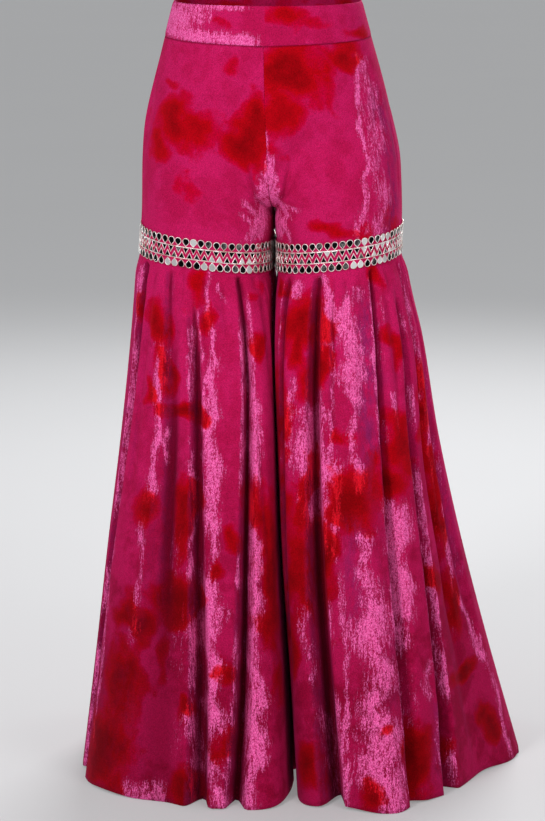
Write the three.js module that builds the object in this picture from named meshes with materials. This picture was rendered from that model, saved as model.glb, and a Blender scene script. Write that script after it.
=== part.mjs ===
// Gharara trousers as they are worn: a shaped waistband, four hip panels, four gathered flares and two
// mirror-work trims. Millimetres, +Z up, front towards -Y, the wearer's left towards +X, and the origin
// at the centre of the waist's top edge. Each half of the garment is described by horizontal sections.
// A section's curve runs from the centre line, or from the inseam below the crotch, round to the side.
import * as THREE from 'three';

// Driving dimensions
const HEM_Z = -1000;
const CLOTH = 1.5;
const BAND_CLOTH = 2;
const BAND_PROUD = 0.7;
const SEAM_GAP = 0.3;
const BAND_SIDE_Z = -43;
const BAND_CENTRE_DIP = 6;
const THIGH_TOP_Z = -130;
const CROTCH_TOP_Z = -180;
const CROTCH_Z = -258;
const CROTCH_ROUNDNESS = 2.8;
const CENTRE_CLEARANCE = 0.4;
const LEG_CLEARANCE = 3;
const LEG_CLEARANCE_DROP = 40;
const TRIM_HEIGHT = 39;
const TRIM_CLEAR = 0.6;
const TRIM_BASE = 0.8;
const TRIM_RELIEF = 0.9;
const MIRRORS_PER_HALF = 32;
const SEAM_SIDE_Z = -318;
const SEAM_INSEAM_DROOP = 20;
const DROOP_START = 0.1;
const FLARE_BULGE = 4;
const BULGE_DROP = 30;
const PLEAT_TOP_DEPTH = 7;
const PLEAT_TOP_WIDTH = 0.42;
const PLEAT_RAMP = 14;
const PLEAT_GROWTH = 0.65;

const RIGHT = { name: 'right', sign: -1, width: 'right', centreY: 'rightY', sideRoundness: 2.45 };
const LEFT = { name: 'left', sign: 1, width: 'left', centreY: 'leftY', sideRoundness: 1.25 };
const FRONT = { name: 'front', sign: -1, depth: 'front' };
const BACK = { name: 'back', sign: 1, depth: 'back' };

// Hip sections: the middle line's x, each side's half width, and the depths ahead of and behind y = 0.
const BODY = [
  { z: 0, mid: -6, right: 118, left: 118, front: 95, back: 95 },
  { z: -45, mid: -4.5, right: 131, left: 129, front: 100, back: 102 },
  { z: -100, mid: -3, right: 146, left: 143, front: 106, back: 116 },
  { z: -150, mid: -1, right: 159, left: 153, front: 109, back: 126 },
  { z: -200, mid: 1, right: 165, left: 161, front: 108, back: 127 },
  { z: -262, mid: 3, right: 168, left: 162, front: 103, back: 114 },
];

// Leg sections: as above, with the y of each leg's widest line. The stance leans to the wearer's left.
const LEGS = [
  { z: -130, mid: -1, right: 159, left: 153, front: 109, back: 126, rightY: 0, leftY: 0 },
  { z: -200, mid: 1, right: 165, left: 161, front: 108, back: 124, rightY: 0, leftY: 0 },
  { z: -262, mid: 3, right: 168, left: 162, front: 103, back: 113, rightY: 0, leftY: 0 },
  { z: -330, mid: 4, right: 174, left: 161, front: 98, back: 100, rightY: 0, leftY: 2 },
  { z: -430, mid: 6, right: 185, left: 183, front: 114, back: 118, rightY: 4, leftY: 8 },
  { z: -560, mid: 11, right: 205, left: 200, front: 142, back: 146, rightY: 12, leftY: 18 },
  { z: -700, mid: 17, right: 230, left: 225, front: 176, back: 178, rightY: 24, leftY: 32 },
  { z: -850, mid: 27, right: 259, left: 254, front: 212, back: 208, rightY: 38, leftY: 48 },
  { z: -1000, mid: 36, right: 288, left: 288, front: 252, back: 236, rightY: 50, leftY: 62 },
];

// Pleats of each flare. seam, mid and hem: place along the panel from inseam (0) to side (1) at the trim,
// halfway down and at the hem. near and far: reach at the hem towards the inseam and towards the side.
// depth: at the hem. from and to: the share of the drop where the pleat comes in and where it is gone,
// a little past 1 for one that is weaker at the hem, and well past 1 for one that runs through it.
const PLEATS = {
  right_front: [
    { seam: 0.12, mid: 0.13, hem: 0.14, near: 22, far: 24, depth: 30, from: 0, to: 9 },
    { seam: 0.345, mid: 0.38, hem: 0.427, near: 16, far: 14, depth: 40, from: 0, to: 9 },
    { seam: 0.55, mid: 0.502, hem: 0.487, near: 10, far: 26, depth: 40, from: 0.04, to: 9 },
    { seam: 0.645, mid: 0.605, hem: 0.59, near: 24, far: 18, depth: 12, from: 0, to: 0.8 },
    { seam: 0.79, mid: 0.83, hem: 0.85, near: 26, far: 14, depth: 34, from: 0, to: 9 },
    { seam: 0.93, mid: 0.94, hem: 0.935, near: 18, far: 22, depth: 32, from: 0, to: 9 },
  ],
  left_front: [
    { seam: 0.12, mid: 0.12, hem: 0.12, near: 22, far: 24, depth: 30, from: 0, to: 9 },
    { seam: 0.29, mid: 0.305, hem: 0.3, near: 10, far: 22, depth: 12, from: 0, to: 0.9 },
    { seam: 0.445, mid: 0.428, hem: 0.436, near: 26, far: 10, depth: 46, from: 0, to: 9 },
    { seam: 0.67, mid: 0.625, hem: 0.59, near: 10, far: 28, depth: 32, from: 0, to: 1.25 },
    { seam: 0.8, mid: 0.76, hem: 0.712, near: 22, far: 16, depth: 44, from: 0.04, to: 9 },
    { seam: 0.87, mid: 0.85, hem: 0.835, near: 16, far: 16, depth: 14, from: 0, to: 0.85 },
    { seam: 0.95, mid: 0.935, hem: 0.94, near: 22, far: 18, depth: 10, from: 0, to: 0.9 },
  ],
  right_back: [
    { seam: 0.12, mid: 0.12, hem: 0.12, near: 22, far: 26, depth: 34, from: 0, to: 9 },
    { seam: 0.27, mid: 0.26, hem: 0.26, near: 26, far: 14, depth: 40, from: 0, to: 9 },
    { seam: 0.41, mid: 0.405, hem: 0.39, near: 14, far: 26, depth: 46, from: 0, to: 9 },
    { seam: 0.55, mid: 0.53, hem: 0.53, near: 24, far: 12, depth: 30, from: 0.05, to: 9 },
    { seam: 0.69, mid: 0.685, hem: 0.675, near: 18, far: 26, depth: 42, from: 0, to: 9 },
    { seam: 0.8, mid: 0.795, hem: 0.79, near: 18, far: 14, depth: 14, from: 0, to: 0.8 },
    { seam: 0.91, mid: 0.9, hem: 0.9, near: 22, far: 20, depth: 36, from: 0, to: 9 },
  ],
  left_back: [
    { seam: 0.13, mid: 0.12, hem: 0.12, near: 26, far: 22, depth: 34, from: 0, to: 9 },
    { seam: 0.26, mid: 0.25, hem: 0.25, near: 14, far: 24, depth: 44, from: 0, to: 9 },
    { seam: 0.38, mid: 0.375, hem: 0.36, near: 16, far: 16, depth: 16, from: 0, to: 0.85 },
    { seam: 0.5, mid: 0.485, hem: 0.48, near: 26, far: 12, depth: 42, from: 0, to: 9 },
    { seam: 0.64, mid: 0.63, hem: 0.62, near: 22, far: 22, depth: 32, from: 0.06, to: 9 },
    { seam: 0.77, mid: 0.755, hem: 0.75, near: 12, far: 26, depth: 44, from: 0, to: 9 },
    { seam: 0.91, mid: 0.9, hem: 0.895, near: 24, far: 18, depth: 36, from: 0, to: 9 },
  ],
};

// Broad dips of the cloth between pleats, with the same columns. A negative depth is a swell.
const HOLLOWS = {
  right_front: [
    { seam: 0.6, mid: 0.59, hem: 0.57, near: 60, far: 150, depth: 24, from: 0.2, to: 9 },
  ],
  left_front: [
    { seam: 0.56, mid: 0.54, hem: 0.52, near: 60, far: 60, depth: -14, from: 0.3, to: 9 },
    { seam: 0.86, mid: 0.86, hem: 0.85, near: 110, far: 80, depth: 12, from: 0.3, to: 9 },
  ],
  right_back: [
    { seam: 0.5, mid: 0.48, hem: 0.46, near: 90, far: 90, depth: -12, from: 0.3, to: 9 },
  ],
  left_back: [
    { seam: 0.6, mid: 0.6, hem: 0.58, near: 90, far: 110, depth: 14, from: 0.3, to: 9 },
  ],
};

// Curves and sections

const clamp = THREE.MathUtils.clamp;
const lerp = THREE.MathUtils.lerp;

// 0 at from and 1 at to, in a soft S between them, whichever of the two is larger.
function smooth(from, to, x) {
  const t = clamp((x - from) / (to - from), 0, 1);
  return t * t * (3 - 2 * t);
}

// A table's column at height z, on a smooth curve through its rows, which run downwards.
function column(rows, key, z) {
  const h = clamp(z, rows[rows.length - 1].z, rows[0].z);
  const i = clamp(rows.findIndex((row) => row.z <= h) - 1, 0, rows.length - 2);
  const slope = (k) => {
    const above = rows[Math.max(k - 1, 0)];
    const below = rows[Math.min(k + 1, rows.length - 1)];
    return (below[key] - above[key]) / (below.z - above.z);
  };
  const span = rows[i + 1].z - rows[i].z;
  const t = (h - rows[i].z) / span;
  const t2 = t * t;
  const t3 = t2 * t;
  return (
    (2 * t3 - 3 * t2 + 1) * rows[i][key] +
    (t3 - 2 * t2 + t) * span * slope(i) +
    (3 * t2 - 2 * t3) * rows[i + 1][key] +
    (t3 - t2) * span * slope(i + 1)
  );
}

const QUARTER_STEPS = 60;
const CURVE_STEPS = 120;

// Points spaced evenly by length along a polyline.
function evenly(points) {
  const path = [0];
  for (let i = 1; i < points.length; i += 1) {
    path.push(path[i - 1] + Math.hypot(points[i][0] - points[i - 1][0], points[i][1] - points[i - 1][1]));
  }
  const length = path[path.length - 1];
  const out = [];
  let i = 0;
  for (let k = 0; k <= CURVE_STEPS; k += 1) {
    const at = (length * k) / CURVE_STEPS;
    while (i < points.length - 2 && path[i + 1] < at) i += 1;
    const t = (at - path[i]) / (path[i + 1] - path[i]);
    out.push([lerp(points[i][0], points[i + 1][0], t), lerp(points[i][1], points[i + 1][1], t)]);
  }
  return { points: out, length };
}

// A quarter of a rounded oblong, from the start angle to the end angle.
function quarter(centreX, centreY, reachX, reachY, roundness, fromStart) {
  const out = [];
  for (let k = 0; k <= QUARTER_STEPS; k += 1) {
    const angle = (k / QUARTER_STEPS) * (Math.PI / 2);
    const along = Math.sin(angle) ** (2 / roundness);
    const across = Math.cos(angle) ** (2 / roundness);
    out.push(fromStart
      ? [centreX - reachX * across, centreY + reachY * along]
      : [centreX + reachX * along, centreY + reachY * across]);
  }
  return out;
}

const BODY_ROUNDNESS = 2.25;
const THIGH_INNER_ROUNDNESS = 2.9;
const FLARE_INNER_ROUNDNESS = 8;

const dropShare = (z) => clamp((SEAM_SIDE_Z - z) / (SEAM_SIDE_Z - HEM_Z), 0, 1);

// The curve of one quarter of the garment at height z, with x measured outwards from the middle line.
function bodyCurve(side, face, z) {
  const reach = face.sign * column(BODY, face.depth, z);
  return evenly(quarter(0, 0, column(BODY, side.width, z), reach, BODY_ROUNDNESS, false)).points;
}

function legCurve(side, face, z) {
  const share = dropShare(z);
  const gap = lerp(CENTRE_CLEARANCE, LEG_CLEARANCE, clamp((CROTCH_Z - z) / LEG_CLEARANCE_DROP, 0, 1));
  const width = column(LEGS, side.width, z);
  const reach = face.sign * column(LEGS, face.depth, z);
  const centreY = column(LEGS, side.centreY, z);
  const inner = width * lerp(0.5, 0.44, share);
  const innerRoundness = lerp(THIGH_INNER_ROUNDNESS, FLARE_INNER_ROUNDNESS, smooth(0, 0.25, share));
  const outerRoundness = lerp(BODY_ROUNDNESS, face === FRONT ? side.sideRoundness : BODY_ROUNDNESS, share);
  return evenly([
    ...quarter(gap + inner, centreY, inner, reach, innerRoundness, true),
    ...quarter(gap + inner, centreY, width - gap - inner, reach, outerRoundness, false).slice(1),
  ]).points;
}

const curves = new Map();

// Above the crotch the two halves are one oval, and below it two tubes. Between, the centre line curves
// back from the belly, and from the seat, to the crotch point, and the thighs fill out more slowly.
function sectionCurve(side, face, z) {
  const key = `${side.name} ${face.name} ${z.toFixed(3)}`;
  if (!curves.has(key)) {
    let points = [];
    if (z >= THIGH_TOP_Z) {
      points = bodyCurve(side, face, z);
    } else if (z <= CROTCH_Z) {
      points = legCurve(side, face, z);
    } else {
      const fall = clamp((CROTCH_TOP_Z - z) / (CROTCH_TOP_Z - CROTCH_Z), 0, 1);
      const centreShare = 1 - (1 - fall ** CROTCH_ROUNDNESS) ** (1 / CROTCH_ROUNDNESS);
      const thighShare = smooth(THIGH_TOP_Z, CROTCH_Z, z);
      const legs = legCurve(side, face, z);
      points = bodyCurve(side, face, z).map(([x, y], i) => {
        const share = lerp(centreShare, thighShare, smooth(0.02, 0.3, i / CURVE_STEPS));
        return [lerp(x, legs[i][0], share), lerp(y, legs[i][1], share)];
      });
    }
    curves.set(key, evenly(points));
  }
  return curves.get(key);
}

// The point at a share of the curve, with its outward direction. The seams at both ends stay open by
// half a seam gap each, and there the direction lies in the seam.
function onSection(side, face, share, z) {
  const { points, length } = sectionCurve(side, face, z);
  const margin = SEAM_GAP / 2 / length;
  const at = lerp(margin, 1 - margin, share) * CURVE_STEPS;
  const i = clamp(Math.floor(at), 0, CURVE_STEPS - 1);
  const t = at - i;
  const a = clamp(Math.round(at) - 1, 0, CURVE_STEPS - 2);
  const along = [points[a + 2][0] - points[a][0], points[a + 2][1] - points[a][1]];
  const size = Math.hypot(along[0], along[1]) * face.sign;
  let out = [-along[1] / size, along[0] / size];
  if (share === 1) out = [1, 0];
  if (share === 0 && z >= THIGH_TOP_Z) out = [0, face.sign];
  if (share === 0 && z <= CROTCH_Z) out = [-1, 0];
  return {
    x: lerp(points[i][0], points[i + 1][0], t),
    y: lerp(points[i][1], points[i + 1][1], t),
    out,
  };
}

// A point of the garment, moved outwards by lift.
function place(side, face, share, z, lift) {
  const p = onSection(side, face, share, z);
  const middle = column(z > CROTCH_Z ? BODY : LEGS, 'mid', z);
  return [middle + side.sign * (p.x + lift * p.out[0]), p.y + lift * p.out[1], z];
}

// Edges of the pieces

const bandEdge = (face, share) => BAND_SIDE_Z - (face === FRONT ? BAND_CENTRE_DIP * (1 - share) : 0);
const flareSeam = (share) => SEAM_SIDE_Z - SEAM_INSEAM_DROOP * (1 - smooth(DROOP_START, 1, share));

// Pleats

const wave = (x) => (Math.abs(x) < 1 ? (1 + Math.cos(Math.PI * x)) / 2 : 0);
const pleatScale = (down) => lerp(PLEAT_TOP_WIDTH, 1, down);

// A pleat's place at a share of the drop, on the parabola through its three places.
function pleatPlace(pleat, down) {
  const bend = 2 * (pleat.seam + pleat.hem) - 4 * pleat.mid;
  return lerp(pleat.seam, pleat.hem, down) - bend * down * (1 - down);
}

// How far the pleats and the gathered fullness move the flare outwards at a share of its section.
function flareLift(side, face, share, z) {
  const down = dropShare(z);
  const below = flareSeam(share) - z;
  const { length } = sectionCurve(side, face, z);
  const outside = smooth(0.08, 0.3, share);
  const key = `${side.name}_${face.name}`;
  let lift = FLARE_BULGE * outside * smooth(0, BULGE_DROP, below) * (1 - down);
  for (const pleat of [...PLEATS[key], ...HOLLOWS[key]]) {
    const offset = (share - pleatPlace(pleat, down)) * length;
    const reach = (offset < 0 ? pleat.near : pleat.far) * pleatScale(down);
    const comesIn = pleat.from > 0 ? smooth(pleat.from * 0.5, pleat.from + 0.15, down) : 1;
    const fades = 1 - smooth(pleat.to * 0.6, pleat.to, down);
    const top = Math.min(PLEAT_TOP_DEPTH, Math.abs(pleat.depth) * 0.4) * Math.sign(pleat.depth);
    const depth = lerp(top, pleat.depth, down ** PLEAT_GROWTH);
    lift -= depth * comesIn * fades * smooth(0, PLEAT_RAMP, below) * wave(offset / reach);
  }
  return lift;
}

// Columns of a flare: five across each pleat and one or two on the cloth between, as places at z.
function flareColumns(side, face) {
  const pleats = PLEATS[`${side.name}_${face.name}`];
  const marks = [{ pleat: null, at: 0, share: 0 }];
  pleats.forEach((pleat) => [-1, -0.5, 0, 0.5, 1].forEach((at) => marks.push({ pleat, at })));
  marks.push({ pleat: null, at: 0, share: 1 });
  const shareAt = (mark, z) => {
    if (!mark.pleat) return mark.share;
    const { length } = sectionCurve(side, face, z);
    const down = dropShare(z);
    const reach = (mark.at < 0 ? mark.pleat.near : mark.pleat.far) * pleatScale(down);
    return pleatPlace(mark.pleat, down) + (mark.at * reach) / length;
  };
  const filled = [(z) => shareAt(marks[0], z)];
  for (let i = 1; i < marks.length; i += 1) {
    const { length } = sectionCurve(side, face, HEM_Z);
    const width = (shareAt(marks[i], HEM_Z) - shareAt(marks[i - 1], HEM_Z)) * length;
    const between = marks[i].pleat === marks[i - 1].pleat ? 0 : Math.min(Math.floor(width / 24), 2);
    for (let k = 1; k <= between; k += 1) {
      const t = k / (between + 1);
      filled.push((z) => lerp(shareAt(marks[i - 1], z), shareAt(marks[i], z), t));
    }
    filled.push((z) => shareAt(marks[i], z));
  }
  return filled;
}

// Solids

// A closed wall from two grids of points, outer and inner, each grid[row][column], rows downwards. In a
// ring the last column joins the first, and the inner grid may then have fewer rows than the outer.
function wall(outer, inner, ring, facesOut) {
  const cols = outer[0].length;
  const position = [...outer.flat(2), ...inner.flat(2)];
  const index = [];
  const outerId = (r, c) => r * cols + (c % cols);
  const innerId = (r, c) => outerId(outer.length + r, c);
  const quad = (a, b, c, d) => (facesOut ? index.push(a, b, c, a, c, d) : index.push(a, c, b, a, d, c));
  const lastOuter = outer.length - 1;
  const lastInner = inner.length - 1;
  const spans = ring ? cols : cols - 1;
  for (let c = 0; c < spans; c += 1) {
    for (let r = 0; r < lastOuter; r += 1) {
      quad(outerId(r, c), outerId(r + 1, c), outerId(r + 1, c + 1), outerId(r, c + 1));
    }
    for (let r = 0; r < lastInner; r += 1) {
      quad(innerId(r, c), innerId(r, c + 1), innerId(r + 1, c + 1), innerId(r + 1, c));
    }
    quad(outerId(0, c), outerId(0, c + 1), innerId(0, c + 1), innerId(0, c));
    quad(outerId(lastOuter, c), innerId(lastInner, c), innerId(lastInner, c + 1), outerId(lastOuter, c + 1));
  }
  for (let r = 0; r < lastOuter && !ring; r += 1) {
    quad(outerId(r, 0), innerId(r, 0), innerId(r + 1, 0), outerId(r + 1, 0));
    quad(outerId(r, spans), outerId(r + 1, spans), innerId(r + 1, spans), innerId(r, spans));
  }
  const geometry = new THREE.BufferGeometry();
  geometry.setAttribute('position', new THREE.Float32BufferAttribute(position, 3));
  geometry.setIndex(index);
  geometry.computeVertexNormals();
  return geometry;
}

const MITRE_LIMIT = 2;

// The inner points of a ring whose outer points stand off the section by a varying lift. Each lies a
// cloth's thickness behind both of the faces that meet there.
function behind(ring, outward, thickness) {
  return ring.map(([x, y, z], i) => {
    const before = ring[Math.max(i - 1, 0)];
    const after = ring[Math.min(i + 1, ring.length - 1)];
    const normals = [[before, ring[i]], [ring[i], after]].map(([a, b]) => {
      const size = Math.hypot(b[0] - a[0], b[1] - a[1]) || 1;
      return [(outward * (a[1] - b[1])) / size, (outward * (b[0] - a[0])) / size];
    });
    const sum = [normals[0][0] + normals[1][0], normals[0][1] + normals[1][1]];
    const size = Math.hypot(...sum);
    const reach = thickness * Math.min(2 / size, MITRE_LIMIT);
    return [x - (reach * sum[0]) / size, y - (reach * sum[1]) / size, z];
  });
}

const velvet = new THREE.MeshStandardMaterial({ color: '#b3124f', roughness: 0.85, metalness: 0 });
const mirrorWork = new THREE.MeshStandardMaterial({ color: '#b9b4b6', roughness: 0.2, metalness: 0.8 });
const garment = new THREE.Group();

function add(name, geometry, material) {
  const mesh = new THREE.Mesh(geometry, material.clone());
  mesh.name = name;
  garment.add(mesh);
}

// A panel between two edges, with rings at the given heights between them.
function panel(side, face, shares, heights, lift, thickness) {
  const grid = (depth) => heights.map((height) => shares.map((share) => {
    const z = height(share);
    return place(side, face, share, z, lift - depth);
  }));
  return wall(grid(0), grid(thickness), false, side.sign * face.sign < 0);
}

const PANEL_COLUMNS = 16;
const panelShares = Array.from({ length: PANEL_COLUMNS + 1 }, (_, i) => i / PANEL_COLUMNS);

function waistband(face) {
  const bandRows = [0, 0.5, 1];
  const halves = [RIGHT, LEFT].map((side) => {
    const grid = (depth) => bandRows.map((t) => panelShares.map((share) => {
      const z = bandEdge(face, share) * t;
      return place(side, face, share, z, BAND_PROUD - depth);
    }));
    return { outer: grid(0), inner: grid(BAND_CLOTH) };
  });
  const join = (right, left) => right.map((row, r) => [...row.slice().reverse(), ...left[r].slice(1)]);
  const outer = join(halves[0].outer, halves[1].outer);
  const inner = join(halves[0].inner, halves[1].inner);
  add(`waistband_${face.name}`, wall(outer, inner, false, face === FRONT), velvet);
}

const HIP_LEVELS = [-75, -105, -132, -158, -182, -203, -222, -238, -250, -258, -277, -307];

function hipPanel(side, face) {
  const heights = [
    (share) => bandEdge(face, share) - SEAM_GAP,
    ...HIP_LEVELS.map((z) => () => z),
    (share) => flareSeam(share),
  ];
  const geometry = panel(side, face, panelShares, heights, 0, CLOTH);
  add(`hip_${side.name}_${face.name}`, geometry, velvet);
}

const FLARE_DROPS = [0, 0.028, 0.07, 0.16, 0.3, 0.45, 0.6, 0.75, 0.88, 1];

function flare(side, face) {
  const columns = flareColumns(side, face);
  const outward = side.sign * face.sign;
  const outer = [];
  const inner = [];
  for (const drop of FLARE_DROPS) {
    const points = columns.map((shareAt) => {
      const share = clamp(shareAt(lerp(SEAM_SIDE_Z, HEM_Z, drop)), 0, 1);
      const z = lerp(flareSeam(share) - SEAM_GAP, HEM_Z, drop);
      return { share, z, lift: flareLift(side, face, share, z) };
    });
    const at = ({ share, z, lift }, depth) => place(side, face, share, z, lift - depth);
    outer.push(points.map((p) => at(p, 0)));
    inner.push(behind(outer[outer.length - 1], outward, CLOTH));
    inner[inner.length - 1][0] = at(points[0], CLOTH);
    inner[inner.length - 1][columns.length - 1] = at(points[columns.length - 1], CLOTH);
  }
  add(`flare_${side.name}_${face.name}`, wall(outer, inner, false, outward < 0), velvet);
}

// Rows of the trim from its foot: the height, how far the mirrors' crowns stand out there, how far the
// ground between them does, and how far the edge between two mirrors is cut back towards the middle.
const TRIM_ROWS = [
  { up: 1, crown: 0.3, ground: 0, notch: -0.06 },
  { up: 0.87, crown: 1, ground: 0, notch: 0 },
  { up: 0.72, crown: 0.1, ground: 0, notch: 0 },
  { up: 0.61, crown: 0.9, ground: 0, notch: 0 },
  { up: 0.5, crown: 0, ground: 0, notch: 0 },
  { up: 0.39, crown: 0.9, ground: 0, notch: 0 },
  { up: 0.28, crown: 0.1, ground: 0, notch: 0 },
  { up: 0.13, crown: 1, ground: 0, notch: 0 },
  { up: 0, crown: 0.3, ground: 0, notch: 0.06 },
];

function trim(side) {
  const steps = MIRRORS_PER_HALF * 2;
  const around = [];
  for (let i = 0; i < steps; i += 1) around.push({ face: FRONT, share: i / steps, crown: i % 2 });
  for (let i = 0; i < steps; i += 1) around.push({ face: BACK, share: 1 - i / steps, crown: i % 2 });
  const rowPoints = (row, lift) => around.map(({ face, share, crown }) => {
    const up = row.up + (crown ? 0 : row.notch);
    const z = flareSeam(share) + TRIM_HEIGHT * up;
    const stands = crown ? row.crown : row.ground;
    return place(side, face, share, z, TRIM_CLEAR + lift(stands));
  });
  const outer = TRIM_ROWS.map((row) => rowPoints(row, (stands) => TRIM_BASE + TRIM_RELIEF * stands));
  const inner = [TRIM_ROWS[0], TRIM_ROWS[TRIM_ROWS.length - 1]].map((row) => rowPoints(row, () => 0));
  add(`trim_${side.name}`, wall(outer, inner, true, side.sign > 0), mirrorWork);
}

for (const face of [FRONT, BACK]) {
  waistband(face);
  for (const side of [RIGHT, LEFT]) {
    hipPanel(side, face);
    flare(side, face);
  }
}
trim(RIGHT);
trim(LEFT);

export default garment;
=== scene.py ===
# Looks of a pair of gharara trousers in crushed, tie-dyed velvet, worn and hollow: thin shells for the
# waistband, hips and pleated flares, and mirror work sewn to a ribbon round each thigh. The sections and
# pleats are those of the model in millimetres, and each finished mesh is in metres.
import math

import bmesh
import bpy
import numpy as np
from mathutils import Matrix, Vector


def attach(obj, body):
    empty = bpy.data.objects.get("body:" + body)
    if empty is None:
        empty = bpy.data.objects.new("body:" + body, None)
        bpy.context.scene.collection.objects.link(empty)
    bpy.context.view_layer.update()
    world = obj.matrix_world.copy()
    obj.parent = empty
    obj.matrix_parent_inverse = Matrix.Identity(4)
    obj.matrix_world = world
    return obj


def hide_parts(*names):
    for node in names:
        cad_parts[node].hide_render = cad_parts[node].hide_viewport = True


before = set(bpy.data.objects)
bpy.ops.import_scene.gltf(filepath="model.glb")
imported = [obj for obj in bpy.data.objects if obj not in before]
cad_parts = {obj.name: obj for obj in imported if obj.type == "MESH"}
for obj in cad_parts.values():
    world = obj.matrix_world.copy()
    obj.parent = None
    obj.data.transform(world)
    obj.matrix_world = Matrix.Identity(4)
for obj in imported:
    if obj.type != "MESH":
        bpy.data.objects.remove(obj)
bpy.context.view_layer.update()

MM = 0.001

# Camera, set from the photograph's frame of 545 by 821 pixels
CAMERA_DISTANCE = 4.3
CAMERA_ELEVATION = math.radians(11.5)
CAMERA_AZIMUTH = math.radians(4.0)
CAMERA_TARGET = Vector((0, 0, -0.527))
CAMERA_LENS = 146.2

# Sizes of the garment in millimetres
HEM_Z = -1000
CLOTH = 1.5
BAND_CLOTH = 2
BAND_PROUD = 0.7
SEAM_GAP = 0.1
BAND_SIDE_Z = -43
BAND_CENTRE_DIP = 6
THIGH_TOP_Z = -130
CROTCH_TOP_Z = -180
CROTCH_Z = -258
CROTCH_ROUNDNESS = 2.8
CENTRE_CLEARANCE = 0.12
LEG_CLEARANCE = 3
LEG_CLEARANCE_DROP = 40
SEAM_SIDE_Z = -318
SEAM_INSEAM_DROOP = 20
DROOP_START = 0.1
FLARE_BULGE = 4
BULGE_DROP = 30
PLEAT_TOP_DEPTH = 7
PLEAT_TOP_WIDTH = 0.42
PLEAT_RAMP = 14
PLEAT_GROWTH = 0.65
PLEAT_TOP_SHARE = 0.4
PLEAT_COMES_IN = 0.15
PLEAT_FADES = 0.6
BULGE_FROM_INSEAM = (0.08, 0.3)
BODY_ROUNDNESS = 2.25
THIGH_INNER_ROUNDNESS = 2.9
FLARE_INNER_ROUNDNESS = 8
SIDE_ROUNDNESS = {"right": 2.45, "left": 1.25}
ROUNDNESS_DROP = 0.25
INNER_SHARE_TOP = 0.5
INNER_SHARE_HEM = 0.44
THIGH_BLEND = (0.02, 0.3)

SIDES = {"right": -1, "left": 1}
FACES = {"front": -1, "back": 1}


def table(columns, *rows):
    """Rows of numbers as dictionaries, under named columns."""
    names = columns.split()
    return [dict(zip(names, row)) for row in rows]


def tables(columns, **panels):
    """A table for each panel, all with the same columns."""
    return {panel: table(columns, *rows) for panel, rows in panels.items()}


# Hip sections: the middle line's x, each side's half width, and the depths ahead of and behind y = 0
BODY = table(
    "z mid right left front back",
    (0, -6, 118, 118, 95, 95),
    (-45, -4.5, 131, 129, 100, 102),
    (-100, -3, 146, 143, 106, 116),
    (-150, -1, 159, 153, 109, 126),
    (-200, 1, 165, 161, 108, 127),
    (-262, 3, 168, 162, 103, 114),
)

# Leg sections: as above, with the y of each leg's widest line
LEGS = table(
    "z mid right left front back right_y left_y",
    (-130, -1, 159, 153, 109, 126, 0, 0),
    (-200, 1, 165, 161, 108, 124, 0, 0),
    (-262, 3, 168, 162, 103, 113, 0, 0),
    (-330, 4, 174, 161, 98, 100, 0, 2),
    (-430, 6, 185, 183, 114, 118, 4, 8),
    (-560, 11, 205, 200, 142, 146, 12, 18),
    (-700, 17, 230, 225, 176, 178, 24, 32),
    (-850, 27, 259, 254, 212, 208, 38, 48),
    (-1000, 36, 288, 288, 252, 236, 50, 62),
)

# Pleats: place from inseam (0) to side (1) at the trim, halfway and at the hem, reach to either side and
# depth at the hem, and the share of the drop where each comes in and is gone
PLEAT_COLUMNS = "seam mid hem near far depth start end"
THROUGH = 9
PLEATS = tables(
    PLEAT_COLUMNS,
    right_front=(
        (0.12, 0.13, 0.14, 22, 24, 30, 0, THROUGH), (0.345, 0.38, 0.427, 16, 14, 40, 0, THROUGH),
        (0.55, 0.502, 0.487, 10, 26, 40, 0.04, THROUGH), (0.645, 0.605, 0.59, 24, 18, 12, 0, 0.8),
        (0.79, 0.83, 0.85, 26, 14, 34, 0, THROUGH), (0.93, 0.94, 0.935, 18, 22, 32, 0, THROUGH),
    ),
    left_front=(
        (0.12, 0.12, 0.12, 22, 24, 30, 0, THROUGH), (0.29, 0.305, 0.3, 10, 22, 12, 0, 0.9),
        (0.445, 0.428, 0.436, 26, 10, 46, 0, THROUGH), (0.67, 0.625, 0.59, 10, 28, 32, 0, 1.25),
        (0.8, 0.76, 0.712, 22, 16, 44, 0.04, THROUGH), (0.87, 0.85, 0.835, 16, 16, 14, 0, 0.85),
        (0.95, 0.935, 0.94, 22, 18, 10, 0, 0.9),
    ),
    right_back=(
        (0.12, 0.12, 0.12, 22, 26, 34, 0, THROUGH), (0.27, 0.26, 0.26, 26, 14, 40, 0, THROUGH),
        (0.41, 0.405, 0.39, 14, 26, 46, 0, THROUGH), (0.55, 0.53, 0.53, 24, 12, 30, 0.05, THROUGH),
        (0.69, 0.685, 0.675, 18, 26, 42, 0, THROUGH), (0.8, 0.795, 0.79, 18, 14, 14, 0, 0.8),
        (0.91, 0.9, 0.9, 22, 20, 36, 0, THROUGH),
    ),
    left_back=(
        (0.13, 0.12, 0.12, 26, 22, 34, 0, THROUGH), (0.26, 0.25, 0.25, 14, 24, 44, 0, THROUGH),
        (0.38, 0.375, 0.36, 16, 16, 16, 0, 0.85), (0.5, 0.485, 0.48, 26, 12, 42, 0, THROUGH),
        (0.64, 0.63, 0.62, 22, 22, 32, 0.06, THROUGH), (0.77, 0.755, 0.75, 12, 26, 44, 0, THROUGH),
        (0.91, 0.9, 0.895, 24, 18, 36, 0, THROUGH),
    ),
)

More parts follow.
